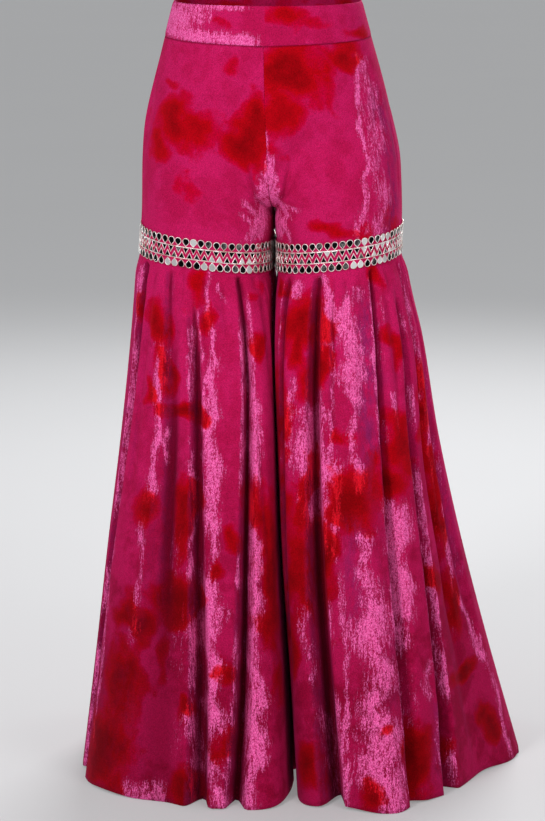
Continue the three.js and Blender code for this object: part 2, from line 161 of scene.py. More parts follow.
# Broad dips between pleats, in the same columns. A negative depth is a swell.
HOLLOWS = tables(
    PLEAT_COLUMNS,
    right_front=((0.6, 0.59, 0.57, 60, 150, 24, 0.2, THROUGH),),
    left_front=(
        (0.56, 0.54, 0.52, 60, 60, -14, 0.3, THROUGH), (0.86, 0.86, 0.85, 110, 80, 12, 0.3, THROUGH),
    ),
    right_back=((0.5, 0.48, 0.46, 90, 90, -12, 0.3, THROUGH),),
    left_back=((0.6, 0.6, 0.58, 90, 110, 14, 0.3, THROUGH),),
)

# Curves and sections


def lerp(a, b, t):
    return a + (b - a) * t


def smooth(start, end, x):
    """0 at start and 1 at end, in a soft S between them."""
    t = np.clip((x - start) / (end - start), 0, 1)
    return t * t * (3 - 2 * t)


def column(rows, key, z):
    """A table's column at heights z, on a smooth curve through its rows."""
    heights = np.array([row["z"] for row in rows], float)[::-1]
    values = np.array([row[key] for row in rows], float)[::-1]
    slopes = np.empty_like(values)
    slopes[1:-1] = (values[2:] - values[:-2]) / (heights[2:] - heights[:-2])
    slopes[0] = (values[1] - values[0]) / (heights[1] - heights[0])
    slopes[-1] = (values[-1] - values[-2]) / (heights[-1] - heights[-2])
    h = np.clip(z, heights[0], heights[-1])
    i = np.clip(np.searchsorted(heights, h) - 1, 0, len(rows) - 2)
    span = heights[i + 1] - heights[i]
    t = (h - heights[i]) / span
    return (
        (2 * t**3 - 3 * t**2 + 1) * values[i]
        + (t**3 - 2 * t**2 + t) * span * slopes[i]
        + (3 * t**2 - 2 * t**3) * values[i + 1]
        + (t**3 - t**2) * span * slopes[i + 1]
    )


QUARTER_STEPS = 60
CURVE_STEPS = 160
LEVEL_STEP = 1.0
LEVELS = np.arange(0, HEM_Z - LEVEL_STEP, -LEVEL_STEP)
CROTCH_SOFTNESS = 9
SOFT_BELOW = (-195, -225)
SOFT_ABOVE = (-325, -290)
SOFT_FROM_SEAM = 0.06


def evenly(points):
    """The same curve with its points spaced evenly by length, and its length."""
    path = np.concatenate([[0], np.cumsum(np.hypot(*np.diff(points, axis=0).T))])
    at = np.linspace(0, path[-1], CURVE_STEPS + 1)
    return np.stack([np.interp(at, path, points[:, k]) for k in (0, 1)], 1), path[-1]


def quarter(centre_x, centre_y, reach_x, reach_y, roundness, from_start):
    """A quarter of a rounded oblong."""
    angle = np.linspace(0, math.pi / 2, QUARTER_STEPS + 1)
    along = np.sin(angle) ** (2 / roundness)
    across = np.clip(np.cos(angle), 0, 1) ** (2 / roundness)
    if from_start:
        return np.stack([centre_x - reach_x * across, centre_y + reach_y * along], 1)
    return np.stack([centre_x + reach_x * along, centre_y + reach_y * across], 1)


def drop_share(z):
    return np.clip((SEAM_SIDE_Z - z) / (SEAM_SIDE_Z - HEM_Z), 0, 1)


def leg_gap(z):
    """Half the room between the legs."""
    return lerp(CENTRE_CLEARANCE, LEG_CLEARANCE, np.clip((CROTCH_Z - z) / LEG_CLEARANCE_DROP, 0, 1))


class Quarter:
    """One quarter of the garment, such as right and front, as points at (share, z) in millimetres."""

    def __init__(self, side, face):
        self.side, self.face = side, face
        self.key = f"{side}_{face}"
        self.sign, self.face_sign = SIDES[side], FACES[face]
        curves = [self.curve(float(z)) for z in LEVELS]
        self.points = self.soften(np.array([points for points, _ in curves]))
        self.lengths = np.array([length for _, length in curves])

    def soften(self, points):
        """The points with the bend under the crotch rounded out, everywhere but at the seam itself."""
        reach = 3 * CROTCH_SOFTNESS
        kernel = np.exp(-0.5 * (np.arange(-reach, reach + 1) / CROTCH_SOFTNESS) ** 2)
        kernel /= kernel.sum()
        padded = np.pad(points, ((reach, reach), (0, 0), (0, 0)), mode="edge")
        soft = sum(weight * padded[k : k + len(points)] for k, weight in enumerate(kernel))
        near = smooth(*SOFT_BELOW, LEVELS) * smooth(*SOFT_ABOVE, LEVELS)
        away = smooth(0, SOFT_FROM_SEAM, np.linspace(0, 1, CURVE_STEPS + 1))
        return lerp(points, soft, (near[:, None] * away[None, :])[..., None])

    def body_curve(self, z):
        reach = self.face_sign * column(BODY, self.face, z)
        return evenly(quarter(0, 0, column(BODY, self.side, z), reach, BODY_ROUNDNESS, False))[0]

    def leg_curve(self, z):
        share = drop_share(z)
        gap = leg_gap(z)
        width = column(LEGS, self.side, z)
        reach = self.face_sign * column(LEGS, self.face, z)
        centre_y = column(LEGS, self.side + "_y", z)
        inner = width * lerp(INNER_SHARE_TOP, INNER_SHARE_HEM, share)
        squarer = smooth(0, ROUNDNESS_DROP, share)
        inner_roundness = lerp(THIGH_INNER_ROUNDNESS, FLARE_INNER_ROUNDNESS, squarer)
        hem_roundness = SIDE_ROUNDNESS[self.side] if self.face == "front" else BODY_ROUNDNESS
        outer_roundness = lerp(BODY_ROUNDNESS, hem_roundness, share)
        start = quarter(gap + inner, centre_y, inner, reach, inner_roundness, True)
        end = quarter(gap + inner, centre_y, width - gap - inner, reach, outer_roundness, False)
        return evenly(np.concatenate([start, end[1:]]))[0]

    def curve(self, z):
        if z >= THIGH_TOP_Z:
            return evenly(self.body_curve(z))
        if z <= CROTCH_Z:
            return evenly(self.leg_curve(z))
        fall = np.clip((CROTCH_TOP_Z - z) / (CROTCH_TOP_Z - CROTCH_Z), 0, 1)
        centre_share = 1 - (1 - fall**CROTCH_ROUNDNESS) ** (1 / CROTCH_ROUNDNESS)
        thigh_share = smooth(THIGH_TOP_Z, CROTCH_Z, z)
        away = smooth(*THIGH_BLEND, np.linspace(0, 1, CURVE_STEPS + 1))
        share = lerp(centre_share, thigh_share, away)[:, None]
        return evenly(lerp(self.body_curve(z), self.leg_curve(z), share))

    def length(self, z):
        return np.interp(-z, -LEVELS, self.lengths)

    def place(self, share, z, lift):
        """Points in the frame, in millimetres, moved outwards by lift, for arrays of one shape."""
        margin = SEAM_GAP / 2 / self.length(z)
        at = lerp(margin, 1 - margin, share) * CURVE_STEPS
        i = np.clip(np.floor(at).astype(int), 0, CURVE_STEPS - 1)
        t = (at - i)[..., None]
        level = np.clip(-z / LEVEL_STEP, 0, len(LEVELS) - 1.001)
        r = np.floor(level).astype(int)
        s = (level - r)[..., None]
        corner = self.points
        above = lerp(corner[r, i], corner[r, i + 1], t)
        below = lerp(corner[r + 1, i], corner[r + 1, i + 1], t)
        p = lerp(above, below, s)
        a = np.clip(np.round(at).astype(int) - 1, 0, CURVE_STEPS - 2)
        along = corner[r, a + 2] - corner[r, a]
        size = np.hypot(along[..., 0], along[..., 1]) * self.face_sign
        out_x, out_y = -along[..., 1] / size, along[..., 0] / size
        ends = share >= 1
        out_x, out_y = np.where(ends, 1, out_x), np.where(ends, 0, out_y)
        starts = (share <= 0) & (z <= CROTCH_Z)
        out_x, out_y = np.where(starts, -1, out_x), np.where(starts, 0, out_y)
        tops = (share <= 0) & (z >= THIGH_TOP_Z)
        out_x, out_y = np.where(tops, 0, out_x), np.where(tops, self.face_sign, out_y)
        middle = np.where(z > CROTCH_Z, column(BODY, "mid", z), column(LEGS, "mid", z))
        x = middle + self.sign * (p[..., 0] + lift * out_x)
        return np.stack([x, p[..., 1] + lift * out_y, z + 0 * x], -1)


QUARTERS = {(side, face): Quarter(side, face) for side in SIDES for face in FACES}


def band_edge(face, share):
    return BAND_SIDE_Z - (BAND_CENTRE_DIP * (1 - share) if face == "front" else 0 * share)


def flare_seam(share):
    return SEAM_SIDE_Z - SEAM_INSEAM_DROOP * (1 - smooth(DROOP_START, 1, share))


# Pleats


def wave(x):
    return np.where(np.abs(x) < 1, (1 + np.cos(np.pi * np.clip(x, -1, 1))) / 2, 0)


def pleat_scale(down):
    return lerp(PLEAT_TOP_WIDTH, 1, down)


def pleat_place(pleat, down):
    bend = 2 * (pleat["seam"] + pleat["hem"]) - 4 * pleat["mid"]
    return lerp(pleat["seam"], pleat["hem"], down) - bend * down * (1 - down)


def flare_lift(q, share, z):
    """How far the pleats and the gathered fullness move a flare outwards."""
    down = drop_share(z)
    below = flare_seam(share) - z
    length = q.length(z)
    lift = FLARE_BULGE * smooth(*BULGE_FROM_INSEAM, share) * smooth(0, BULGE_DROP, below) * (1 - down)
    for pleat in PLEATS[q.key] + HOLLOWS[q.key]:
        offset = (share - pleat_place(pleat, down)) * length
        reach = np.where(offset < 0, pleat["near"], pleat["far"]) * pleat_scale(down)
        start, end = pleat["start"], pleat["end"]
        comes_in = smooth(start / 2, start + PLEAT_COMES_IN, down) if start else 1
        fades = 1 - smooth(end * PLEAT_FADES, end, down)
        top = min(PLEAT_TOP_DEPTH, abs(pleat["depth"]) * PLEAT_TOP_SHARE) * np.sign(pleat["depth"])
        depth = lerp(top, pleat["depth"], down**PLEAT_GROWTH)
        lift = lift - depth * comes_in * fades * smooth(0, PLEAT_RAMP, below) * wave(offset / reach)
    return lift


# Where cloth spans the hollow beside the centre seam: the hollow's place, half width and the filling
SPAN = table(
    "z out width fill",
    (-165, 34, 16, 0),
    (-180, 33, 17, 2),
    (-192, 31, 17, 5.5),
    (-200, 29, 17, 8),
    (-210, 26, 16, 11),
    (-220, 23.5, 15.5, 11.5),
    (-230, 19, 13, 11),
    (-240, 14.5, 10.5, 9.5),
    (-246, 11.5, 9, 9),
    (-250, 9.5, 7.5, 8.5),
    (-254, 7.2, 6, 6.5),
    (-259, 5.5, 5, 0),
)


def centre_span(outwards, z):
    """How far the cloth between the thighs stands out over the hollow, above the crotch."""
    return column(SPAN, "fill", z) * wave((outwards - column(SPAN, "out", z)) / column(SPAN, "width", z))


# Creases that follow the cloth down, finer than the solids' pleats: place and height at each end, half
# width and depth in millimetres. A negative depth is a ridge.
RUN_COLUMNS = "share z to_share to_z width depth"
CREASES = tables(
    RUN_COLUMNS,
    flare_right_front=(
        (0.735, -330, 0.745, -640, 9, 2.4), (0.665, -400, 0.675, -800, 16, -3),
        (0.605, -333, 0.6, -560, 8, 2.2), (0.545, -350, 0.535, -480, 9, -2.2), (0.5, -345, 0.5, -560, 7, 2),
        (0.43, -340, 0.415, -420, 7, 2.2), (0.355, -400, 0.375, -860, 12, -2.5),
        (0.325, -430, 0.33, -760, 6, 1.8), (0.27, -340, 0.25, -520, 10, 2.2), (0.2, -345, 0.2, -700, 12, 2),
        (0.66, -860, 0.6, -1010, 28, 3.5),
    ),
    flare_left_front=(
        (0.27, -346, 0.28, -640, 9, 2), (0.345, -420, 0.36, -620, 7, 1.8),
        (0.405, -500, 0.42, -720, 20, -2.8), (0.475, -335, 0.475, -600, 7, -2.5),
        (0.49, -345, 0.49, -560, 6, 2), (0.55, -380, 0.545, -620, 17, -2.8),
        (0.6, -338, 0.585, -520, 10, 2.4), (0.64, -345, 0.62, -640, 7, -2.2),
        (0.735, -340, 0.7, -560, 8, 2), (0.76, -335, 0.74, -500, 9, -2),
        (0.55, -700, 0.53, -1010, 24, -3.4), (0.6, -760, 0.575, -1010, 8, 1.8),
        (0.69, -800, 0.69, -1010, 10, 2.4), (0.88, -350, 0.9, -700, 9, -2.2),
        (0.83, -700, 0.84, -1010, 22, 2.5),
    ),
    flare_right_back=(
        (0.2, -345, 0.2, -600, 10, 2.2), (0.335, -340, 0.33, -520, 8, -2.2),
        (0.46, -350, 0.46, -760, 9, 2.2), (0.6, -338, 0.605, -620, 13, -2.8),
        (0.74, -345, 0.73, -560, 8, 2), (0.85, -340, 0.855, -700, 10, -2.2),
        (0.34, -700, 0.33, -1010, 20, -3.2), (0.6, -760, 0.6, -1010, 10, 2.2),
        (0.84, -640, 0.85, -1010, 16, 2.4),
    ),
    flare_left_back=(
        (0.19, -345, 0.19, -660, 11, 2.2), (0.32, -340, 0.315, -540, 8, -2),
        (0.44, -345, 0.43, -620, 9, 2.2), (0.57, -345, 0.555, -820, 13, -2.8),
        (0.7, -340, 0.695, -560, 8, 2), (0.84, -345, 0.83, -760, 10, -2.4),
        (0.42, -700, 0.42, -1010, 18, -3.2), (0.69, -760, 0.69, -1010, 9, 2.2),
        (0.19, -760, 0.19, -1010, 16, 2.4),
    ),
    hip_left_front=(
        (0.76, -70, 0.72, -150, 8, 1.2), (0.84, -95, 0.8, -200, 7, -1.2), (0.7, -130, 0.66, -230, 9, 1.2),
        (0.9, -130, 0.86, -250, 7, 1.2), (0.77, -190, 0.8, -290, 8, 1.4),
    ),
    hip_right_front=(
        (0.84, -90, 0.82, -190, 9, 1), (0.88, -52, 0.885, -330, 4.5, 2.2), (0.93, -60, 0.935, -330, 6, -1),
    ),
    hip_right_back=(
        (0.8, -80, 0.76, -180, 9, 1.2), (0.88, -140, 0.84, -270, 8, -1.2), (0.66, -190, 0.7, -290, 10, 1.2),
    ),
    hip_left_back=(
        (0.82, -90, 0.78, -200, 8, 1.2), (0.7, -170, 0.74, -290, 10, 1.3), (0.9, -120, 0.88, -240, 7, -1),
    ),
)

# Crumples round the crotch: ends as distance outwards from the middle line and height, half width, depth
CRUMPLE_COLUMNS = "x z to_x to_z width depth"
CRUMPLES = tables(
    CRUMPLE_COLUMNS,
    hip_right_front=(
        (3, -256, 24, -236, 5, 1.8), (4, -270, 32, -266, 5, 1.6), (2, -246, 10, -206, 4, 1.2),
        (6, -284, 26, -296, 5, 1.4), (14, -246, 30, -224, 4, -1), (16, -262, 40, -252, 5, -1.2),
    ),
    hip_left_front=(
        (3, -252, 20, -232, 5, 1.8), (4, -266, 36, -258, 5, 1.8), (2, -240, 12, -200, 4, 1.4),
        (8, -278, 30, -300, 5, 1.6), (12, -254, 26, -282, 4, 1.2), (16, -246, 42, -236, 4, -1.2),
    ),
    hip_right_back=(
        (3, -250, 34, -232, 7, 2.2), (5, -268, 56, -258, 8, 2.2), (8, -286, 66, -292, 7, 1.6),
        (2, -238, 14, -196, 5, 1.4),
    ),
    hip_left_back=(
        (3, -252, 30, -228, 7, 2.2), (5, -266, 60, -262, 8, 2.2), (8, -284, 58, -296, 7, 1.8),
        (2, -236, 16, -192, 5, 1.4),
    ),
)

# Red dye patches: centre, half widths across and down in millimetres, and strength
DYE_COLUMNS = "share z across tall strength"
DYES = tables(
    DYE_COLUMNS,
    hip_right_front=(
        (0.52, -148, 42, 28, 1), (0.66, -172, 26, 24, 0.95), (0.06, -142, 22, 36, 1),
        (0.12, -168, 32, 28, 1), (0.2, -72, 11, 14, 0.5), (0.48, -226, 14, 22, 0.5),
        (0.6, -104, 14, 6, 0.55), (0.02, -196, 10, 20, 0.6),
    ),
    hip_left_front=(
        (0.14, -78, 40, 42, 1), (0.07, -126, 22, 34, 0.85), (0.34, -72, 22, 20, 0.8),
        (0.54, -54, 34, 15, 0.9), (0.37, -100, 12, 18, 0.6), (0.53, -277, 32, 7, 0.75),
        (0.8, -270, 22, 12, 0.6), (0.05, -170, 12, 12, 0.5),
    ),
    hip_right_back=(
        (0.3, -90, 34, 30, 1), (0.55, -130, 24, 36, 0.9), (0.12, -190, 26, 30, 1),
        (0.72, -230, 30, 18, 0.85), (0.45, -265, 40, 12, 0.8),
    ),
    hip_left_back=(
        (0.22, -120, 30, 38, 1), (0.5, -80, 26, 20, 0.85), (0.7, -170, 28, 30, 1),
        (0.35, -225, 34, 22, 0.9), (0.85, -70, 16, 18, 0.8),
    ),
    band_right_front=((0.3, -24, 16, 8, 0.4),),
    band_left_front=((0.17, -8, 28, 12, 0.7), (0.33, -18, 22, 11, 0.55), (0.75, -34, 30, 9, 0.6),),
    band_right_back=((0.35, -20, 34, 14, 0.9), (0.8, -12, 20, 12, 0.6),),
    band_left_back=((0.5, -26, 30, 14, 0.9), (0.12, -10, 18, 9, 0.5),),
    flare_right_front=(
        (0.81, -385, 10, 26, 0.9), (0.535, -352, 13, 26, 0.9), (0.5, -385, 9, 24, 0.85),
        (0.665, -400, 14, 26, 1), (0.645, -450, 9, 36, 1), (0.57, -506, 26, 12, 1),
        (0.71, -476, 12, 18, 0.9), (0.3, -435, 13, 17, 0.9), (0.275, -352, 8, 10, 0.6),
        (0.69, -635, 18, 28, 1), (0.56, -636, 17, 42, 1), (0.42, -662, 16, 16, 0.95),
        (0.47, -695, 9, 14, 0.9), (0.34, -632, 15, 52, 0.95), (0.72, -765, 20, 20, 0.9),
        (0.665, -785, 20, 20, 1), (0.57, -745, 32, 22, 1), (0.7, -858, 26, 42, 0.9),
        (0.73, -950, 36, 56, 1), (0.59, -822, 10, 24, 0.6), (0.52, -878, 10, 16, 0.9),
        (0.52, -978, 20, 18, 1), (0.45, -833, 13, 16, 0.85), (0.45, -926, 17, 20, 0.9),
        (0.31, -700, 22, 90, 1), (0.3, -850, 18, 30, 0.7), (0.2, -940, 16, 46, 0.8),
    ),
    flare_left_front=(
        (0.27, -346, 14, 12, 1), (0.39, -392, 24, 38, 1), (0.42, -455, 16, 34, 1), (0.36, -415, 12, 30, 1),
        (0.27, -530, 22, 60, 1), (0.15, -560, 16, 70, 0.9), (0.16, -700, 20, 80, 1),
        (0.15, -840, 20, 60, 0.9), (0.4, -610, 10, 60, 0.85), (0.745, -431, 10, 22, 0.8),
        (0.865, -655, 14, 44, 0.9), (0.86, -775, 16, 44, 0.95), (0.53, -592, 14, 22, 0.9),
        (0.29, -640, 18, 90, 1), (0.31, -770, 22, 70, 0.95), (0.37, -690, 22, 70, 0.9),
        (0.37, -950, 22, 30, 0.9), (0.42, -694, 18, 54, 1), (0.53, -612, 34, 40, 1),
        (0.66, -594, 28, 24, 1), (0.88, -600, 18, 34, 0.95), (0.7, -553, 22, 46, 1),
        (0.87, -520, 14, 60, 1), (0.77, -735, 14, 24, 0.85), (0.83, -862, 32, 13, 1),
        (0.9, -940, 22, 20, 0.95), (0.62, -950, 20, 42, 1), (0.52, -975, 18, 18, 0.9),
        (0.74, -955, 14, 20, 0.6), (0.55, -897, 9, 12, 0.8), (0.7, -335, 9, 18, 0.9),
        (0.53, -528, 12, 14, 0.8), (0.575, -570, 12, 20, 0.8),
    ),
    flare_right_back=(
        (0.15, -380, 14, 30, 0.9), (0.36, -360, 16, 24, 0.9), (0.52, -430, 18, 40, 1),
        (0.78, -400, 14, 34, 0.9), (0.28, -520, 22, 30, 1), (0.66, -560, 22, 36, 1),
        (0.88, -620, 16, 50, 0.9), (0.44, -640, 26, 26, 0.95), (0.16, -690, 24, 60, 1),
        (0.6, -740, 30, 30, 1), (0.3, -800, 24, 26, 0.9), (0.8, -830, 30, 36, 1), (0.46, -880, 26, 40, 1),
        (0.15, -920, 20, 34, 0.8), (0.66, -960, 34, 26, 1),
    ),
    flare_left_back=(
        (0.22, -350, 14, 20, 0.9), (0.44, -400, 20, 34, 1), (0.68, -380, 14, 40, 0.9),
        (0.86, -460, 18, 40, 1), (0.18, -500, 20, 50, 1), (0.54, -540, 24, 24, 0.9),
        (0.36, -620, 24, 40, 1), (0.74, -650, 26, 34, 1), (0.12, -740, 18, 50, 0.9),
        (0.52, -760, 30, 36, 1), (0.88, -800, 22, 40, 0.9), (0.3, -860, 30, 30, 1), (0.66, -900, 30, 40, 1),
        (0.46, -970, 26, 22, 0.9), (0.86, -960, 26, 26, 0.9),
    ),
)

# Streaks of painted sheen, where the pile catches the light: place and height at each end, half width and
# strength
STREAK_COLUMNS = "share z to_share to_z width strength"
PAINTED_SHEEN_STREAKS = tables(
    STREAK_COLUMNS,
    flare_right_front=(
        (0.84, -333, 0.82, -600, 7, 0.8), (0.8, -600, 0.79, -960, 8, 0.7), (0.77, -335, 0.77, -366, 5, 0.7),
        (0.66, -420, 0.675, -625, 10, 0.95), (0.68, -636, 0.68, -800, 9, 0.65),
        (0.635, -528, 0.63, -575, 8, 0.85), (0.558, -398, 0.545, -500, 6, 0.7),
        (0.535, -560, 0.52, -720, 6, 0.8), (0.52, -760, 0.51, -860, 9, 0.8),
        (0.51, -868, 0.505, -1010, 10, 0.8), (0.475, -328, 0.48, -460, 5, 0.8),
        (0.475, -440, 0.475, -690, 14, 1), (0.475, -705, 0.47, -905, 19, 1),
        (0.465, -930, 0.46, -1010, 22, 0.75), (0.345, -395, 0.352, -600, 10, 0.95),
        (0.36, -600, 0.375, -800, 12, 0.9), (0.375, -790, 0.395, -1010, 18, 0.95),
        (0.44, -344, 0.42, -368, 4, 0.7), (0.67, -1004, 0.56, -1004, 22, 0.95),
    ),
    flare_left_front=(
        (0.47, -333, 0.475, -425, 12, 1), (0.485, -425, 0.475, -600, 4.5, 0.8),
        (0.355, -342, 0.36, -366, 11, 0.85), (0.555, -358, 0.56, -500, 17, 1),
        (0.55, -500, 0.543, -600, 8, 0.9), (0.6, -346, 0.6, -368, 10, 0.7),
        (0.65, -345, 0.635, -470, 5, 0.7), (0.705, -480, 0.69, -532, 6, 0.8),
        (0.345, -458, 0.35, -545, 9, 0.75), (0.415, -498, 0.41, -600, 32, 0.9),
        (0.42, -590, 0.42, -650, 26, 0.75), (0.88, -345, 0.88, -620, 6, 0.7),
        (0.48, -560, 0.475, -690, 9, 0.85), (0.475, -690, 0.46, -1010, 6, 0.8),
        (0.545, -650, 0.55, -740, 18, 0.75), (0.548, -730, 0.54, -850, 26, 0.95),
        (0.535, -840, 0.53, -1010, 36, 0.85), (0.65, -620, 0.645, -770, 25, 1),
        (0.63, -770, 0.6, -860, 8, 0.8), (0.6, -860, 0.58, -905, 5, 0.7),
        (0.68, -825, 0.675, -878, 12, 0.75), (0.92, -590, 0.88, -760, 9, 0.7),
        (0.9, -760, 0.95, -870, 14, 0.8), (0.96, -880, 0.96, -1000, 12, 0.7),
        (0.69, -900, 0.69, -985, 12, 0.55), (0.42, -880, 0.425, -1010, 11, 0.65),
        (0.385, -740, 0.39, -850, 12, 0.55),
    ),
    flare_right_back=(
        (0.2, -340, 0.21, -470, 9, 0.85), (0.32, -430, 0.32, -640, 14, 0.95),
        (0.48, -350, 0.475, -420, 8, 0.8), (0.47, -520, 0.46, -760, 16, 0.95),
        (0.62, -345, 0.62, -520, 10, 0.9), (0.74, -560, 0.74, -780, 14, 0.9),
        (0.86, -360, 0.86, -560, 8, 0.8), (0.22, -780, 0.2, -1010, 18, 0.9),
        (0.56, -820, 0.56, -1010, 18, 0.9), (0.94, -700, 0.94, -900, 10, 0.75),
    ),
    flare_left_back=(
        (0.18, -350, 0.18, -560, 10, 0.9), (0.33, -345, 0.32, -430, 9, 0.8),
        (0.44, -480, 0.43, -720, 16, 1), (0.58, -350, 0.57, -520, 10, 0.9),
        (0.7, -540, 0.7, -760, 14, 0.95), (0.84, -350, 0.83, -600, 9, 0.85),
        (0.2, -700, 0.19, -1010, 16, 0.85), (0.56, -800, 0.54, -1010, 22, 0.95),
        (0.82, -860, 0.82, -1010, 16, 0.8), (0.94, -560, 0.94, -760, 9, 0.7),
    ),
    hip_left_front=(
        (0.64, -60, 0.575, -150, 5, 0.95), (0.575, -140, 0.57, -215, 6, 1), (0.57, -205, 0.6, -288, 6, 0.9),
        (0.73, -66, 0.66, -150, 24, 0.62), (0.66, -140, 0.67, -210, 28, 0.66),
        (0.67, -200, 0.71, -290, 30, 0.6),
    ),
    hip_right_back=((0.64, -80, 0.6, -200, 20, 0.75), (0.12, -226, 0.3, -262, 12, 0.8),),
    hip_left_back=((0.2, -58, 0.24, -150, 18, 0.8), (0.78, -160, 0.74, -290, 20, 0.8),),
    band_right_front=(
        (1.15, -20, 0.52, -18, 42, 1.1), (0.8, -15, 0.34, -14, 17, 0.72), (0.9, -32, 0.02, -50, 14, 1.15),
        (0.8, -3, 0.1, -2, 4, 0.9), (0.1, -47, -0.05, -48, 2.5, 0.9),
    ),
    band_left_back=((0.95, -20, 0.6, -24, 12, 0.8),),
)

# Painted sheen round the crotch, as the crumples' columns with a strength for the depth
CROTCH_PAINTED_SHEEN = tables(
    CRUMPLE_COLUMNS,
    hip_right_front=(
        (1, -186, 2, -240, 3, 0.9), (1, -206, 10, -246, 9, 0.9), (3, -240, 9, -272, 10, 1),
        (8, -262, 14, -294, 8, 0.9), (14, -262, 26, -296, 6, 0.85), (18, -262, 36, -240, 4, 0.85),
        (22, -272, 38, -258, 3.5, 0.8), (20, -280, 36, -296, 4, 0.7),
    ),
    hip_left_front=(
        (0.5, -150, 2, -200, 2.2, 0.85), (1, -184, 7, -222, 8, 0.9), (1, -214, 8, -250, 8, 1.1),
        (6, -236, 24, -266, 4.5, 1.05), (3, -250, 8, -294, 7, 1.05), (12, -262, 24, -294, 4, 0.95),
        (16, -248, 38, -254, 3.5, 0.8),
    ),
    hip_right_back=((3, -240, 30, -262, 8, 0.85),),
    hip_left_back=((3, -244, 36, -256, 8, 0.85),),
)

# Painted purple shade, on cloth turned from the light, in the streaks' columns
PURPLE_SHADE_STREAKS = tables(
    STREAK_COLUMNS,
    flare_left_front=(
        (0.615, -360, 0.585, -570, 19, 0.9), (0.955, -600, 0.92, -780, 14, 0.6),
        (0.69, -880, 0.69, -1000, 16, 0.6), (0.515, -640, 0.515, -770, 16, 0.6),
        (0.93, -340, 0.93, -600, 12, 0.6),
    ),
    flare_right_front=((0.87, -340, 0.84, -600, 10, 0.7), (0.83, -620, 0.83, -1000, 14, 0.7),),
    flare_right_back=((0.4, -560, 0.4, -760, 16, 0.7),),
    flare_left_back=((0.64, -560, 0.64, -780, 16, 0.7),),
    hip_left_front=((0.8, -110, 0.79, -290, 26, 0.8),),
    hip_left_back=((0.88, -110, 0.86, -290, 20, 0.6),),
)

# How softly a crease's ends fall off, and how it bows: reach as a share, bends down it, turn by its place
RUN_TAPER = 0.22
RUN_BOW = (0.006, 5.3, 40)


def line_distance(x, y, x0, y0, x1, y1):
    """Distance to a line between two points, and the share of the way along it, not limited to 0 and 1."""
    dx, dy = x1 - x0, y1 - y0
    size = np.hypot(dx, dy)
    t = ((x - x0) * dx + (y - y0) * dy) / size**2
    return ((x - x0) * dy - (y - y0) * dx) / size, t


def crumple_distance(row, outwards, z):
    return line_distance(outwards, z, row["x"], row["z"], row["to_x"], row["to_z"])


def fade_ends(t, outside, inside):
    """1 along a line's middle, falling softly to 0 from inside its two ends to outside them."""
    return smooth(-outside, inside, t) * smooth(1 + outside, 1 - inside, t)


def run_offset(row, share, z, length):
    """Signed distance across a run in millimetres, and the share of the way down it."""
    t = (z - row["z"]) / (row["to_z"] - row["z"])
    reach, bends, turn = RUN_BOW
    bow = reach * np.sin(t * bends + row["share"] * turn)
    return (share - lerp(row["share"], row["to_share"], t) - bow) * length, t


def crease_lift(key, share, z, length, outwards):
    """How far a panel's fine creases move it outwards."""
    lift = 0 * share
    for row in CREASES.get(key, ()):
        offset, t = run_offset(row, share, z, length)
        lift = lift - row["depth"] * fade_ends(t, 0, RUN_TAPER) * wave(offset / row["width"])
    for row in CRUMPLES.get(key, ()):
        offset, t = crumple_distance(row, outwards, z)
        lift = lift - row["depth"] * fade_ends(t, 0, RUN_TAPER) * wave(offset / row["width"])
    return lift


# Gathers under the thigh seam: their places, and the ranges that each one's sizes are drawn from
GATHER_PLACES = np.linspace(0.06, 0.96, 19)
GATHER_SHIFT = 0.018
GATHER_DROP = (26, 95)
GATHER_WIDTH = (4.5, 8)
GATHER_DEPTH = (0.7, 1.9)
GATHER_LEAN = 0.02
GATHER_RISE = (0, 0.2)
GATHER_FALL = (1, 0.25)


def gather_lift(share, z, length, seed):
    """Small puckers under the thigh seam, uneven in place, length and depth."""
    draw = np.random.default_rng(seed)
    lift = 0 * share
    for place in GATHER_PLACES:
        at = place + draw.uniform(-GATHER_SHIFT, GATHER_SHIFT)
        drop = draw.uniform(*GATHER_DROP)
        width = draw.uniform(*GATHER_WIDTH)
        depth = draw.uniform(*GATHER_DEPTH) * draw.choice([1, 1, -1])
        lean = draw.uniform(-GATHER_LEAN, GATHER_LEAN)
        t = (flare_seam(share) - z) / drop
        offset = (share - at - lean * t) * length
        lift = lift - depth * smooth(*GATHER_RISE, t) * smooth(*GATHER_FALL, t) * wave(offset / width)
    return lift


# How far the dye's edges wander, as waves: reach, and the lengths along the cloth and down it
WANDERS = table(
    "reach along down turn",
    (7, 34, 27, 0.3), (5, -17, 15, 1.9), (3, 9, -11, 4.1), (2, 5, 6.5, 2.6),
)
DYE_EDGE = (2.0, 0.1)
DYE_SEED_STEP = 1.7


def wander(along, z, seed):
    """Offsets along the cloth and down it, in millimetres, that make a round patch uneven."""
    sideways = downwards = 0
    for w in WANDERS:
        turn = w["turn"]
        sideways = sideways + w["reach"] * np.sin(along / w["along"] + z / w["down"] + turn + seed)
        downwards = downwards + w["reach"] * np.sin(along / w["down"] - z / w["along"] + 2 * turn - seed)
    return sideways, downwards


def patches(key, share, z, length):
    """Red dye at points of a panel, from 0 to 1."""
    dye = 0 * share
    for number, row in enumerate(DYES.get(key, ())):
        sideways, downwards = wander(share * length, z, DYE_SEED_STEP * number)
        across = ((share - row["share"]) * length + sideways) / row["across"]
        r = np.hypot(across, (z - row["z"] + downwards) / row["tall"])
        dye = np.maximum(dye, row["strength"] * smooth(*DYE_EDGE, r))
    return dye
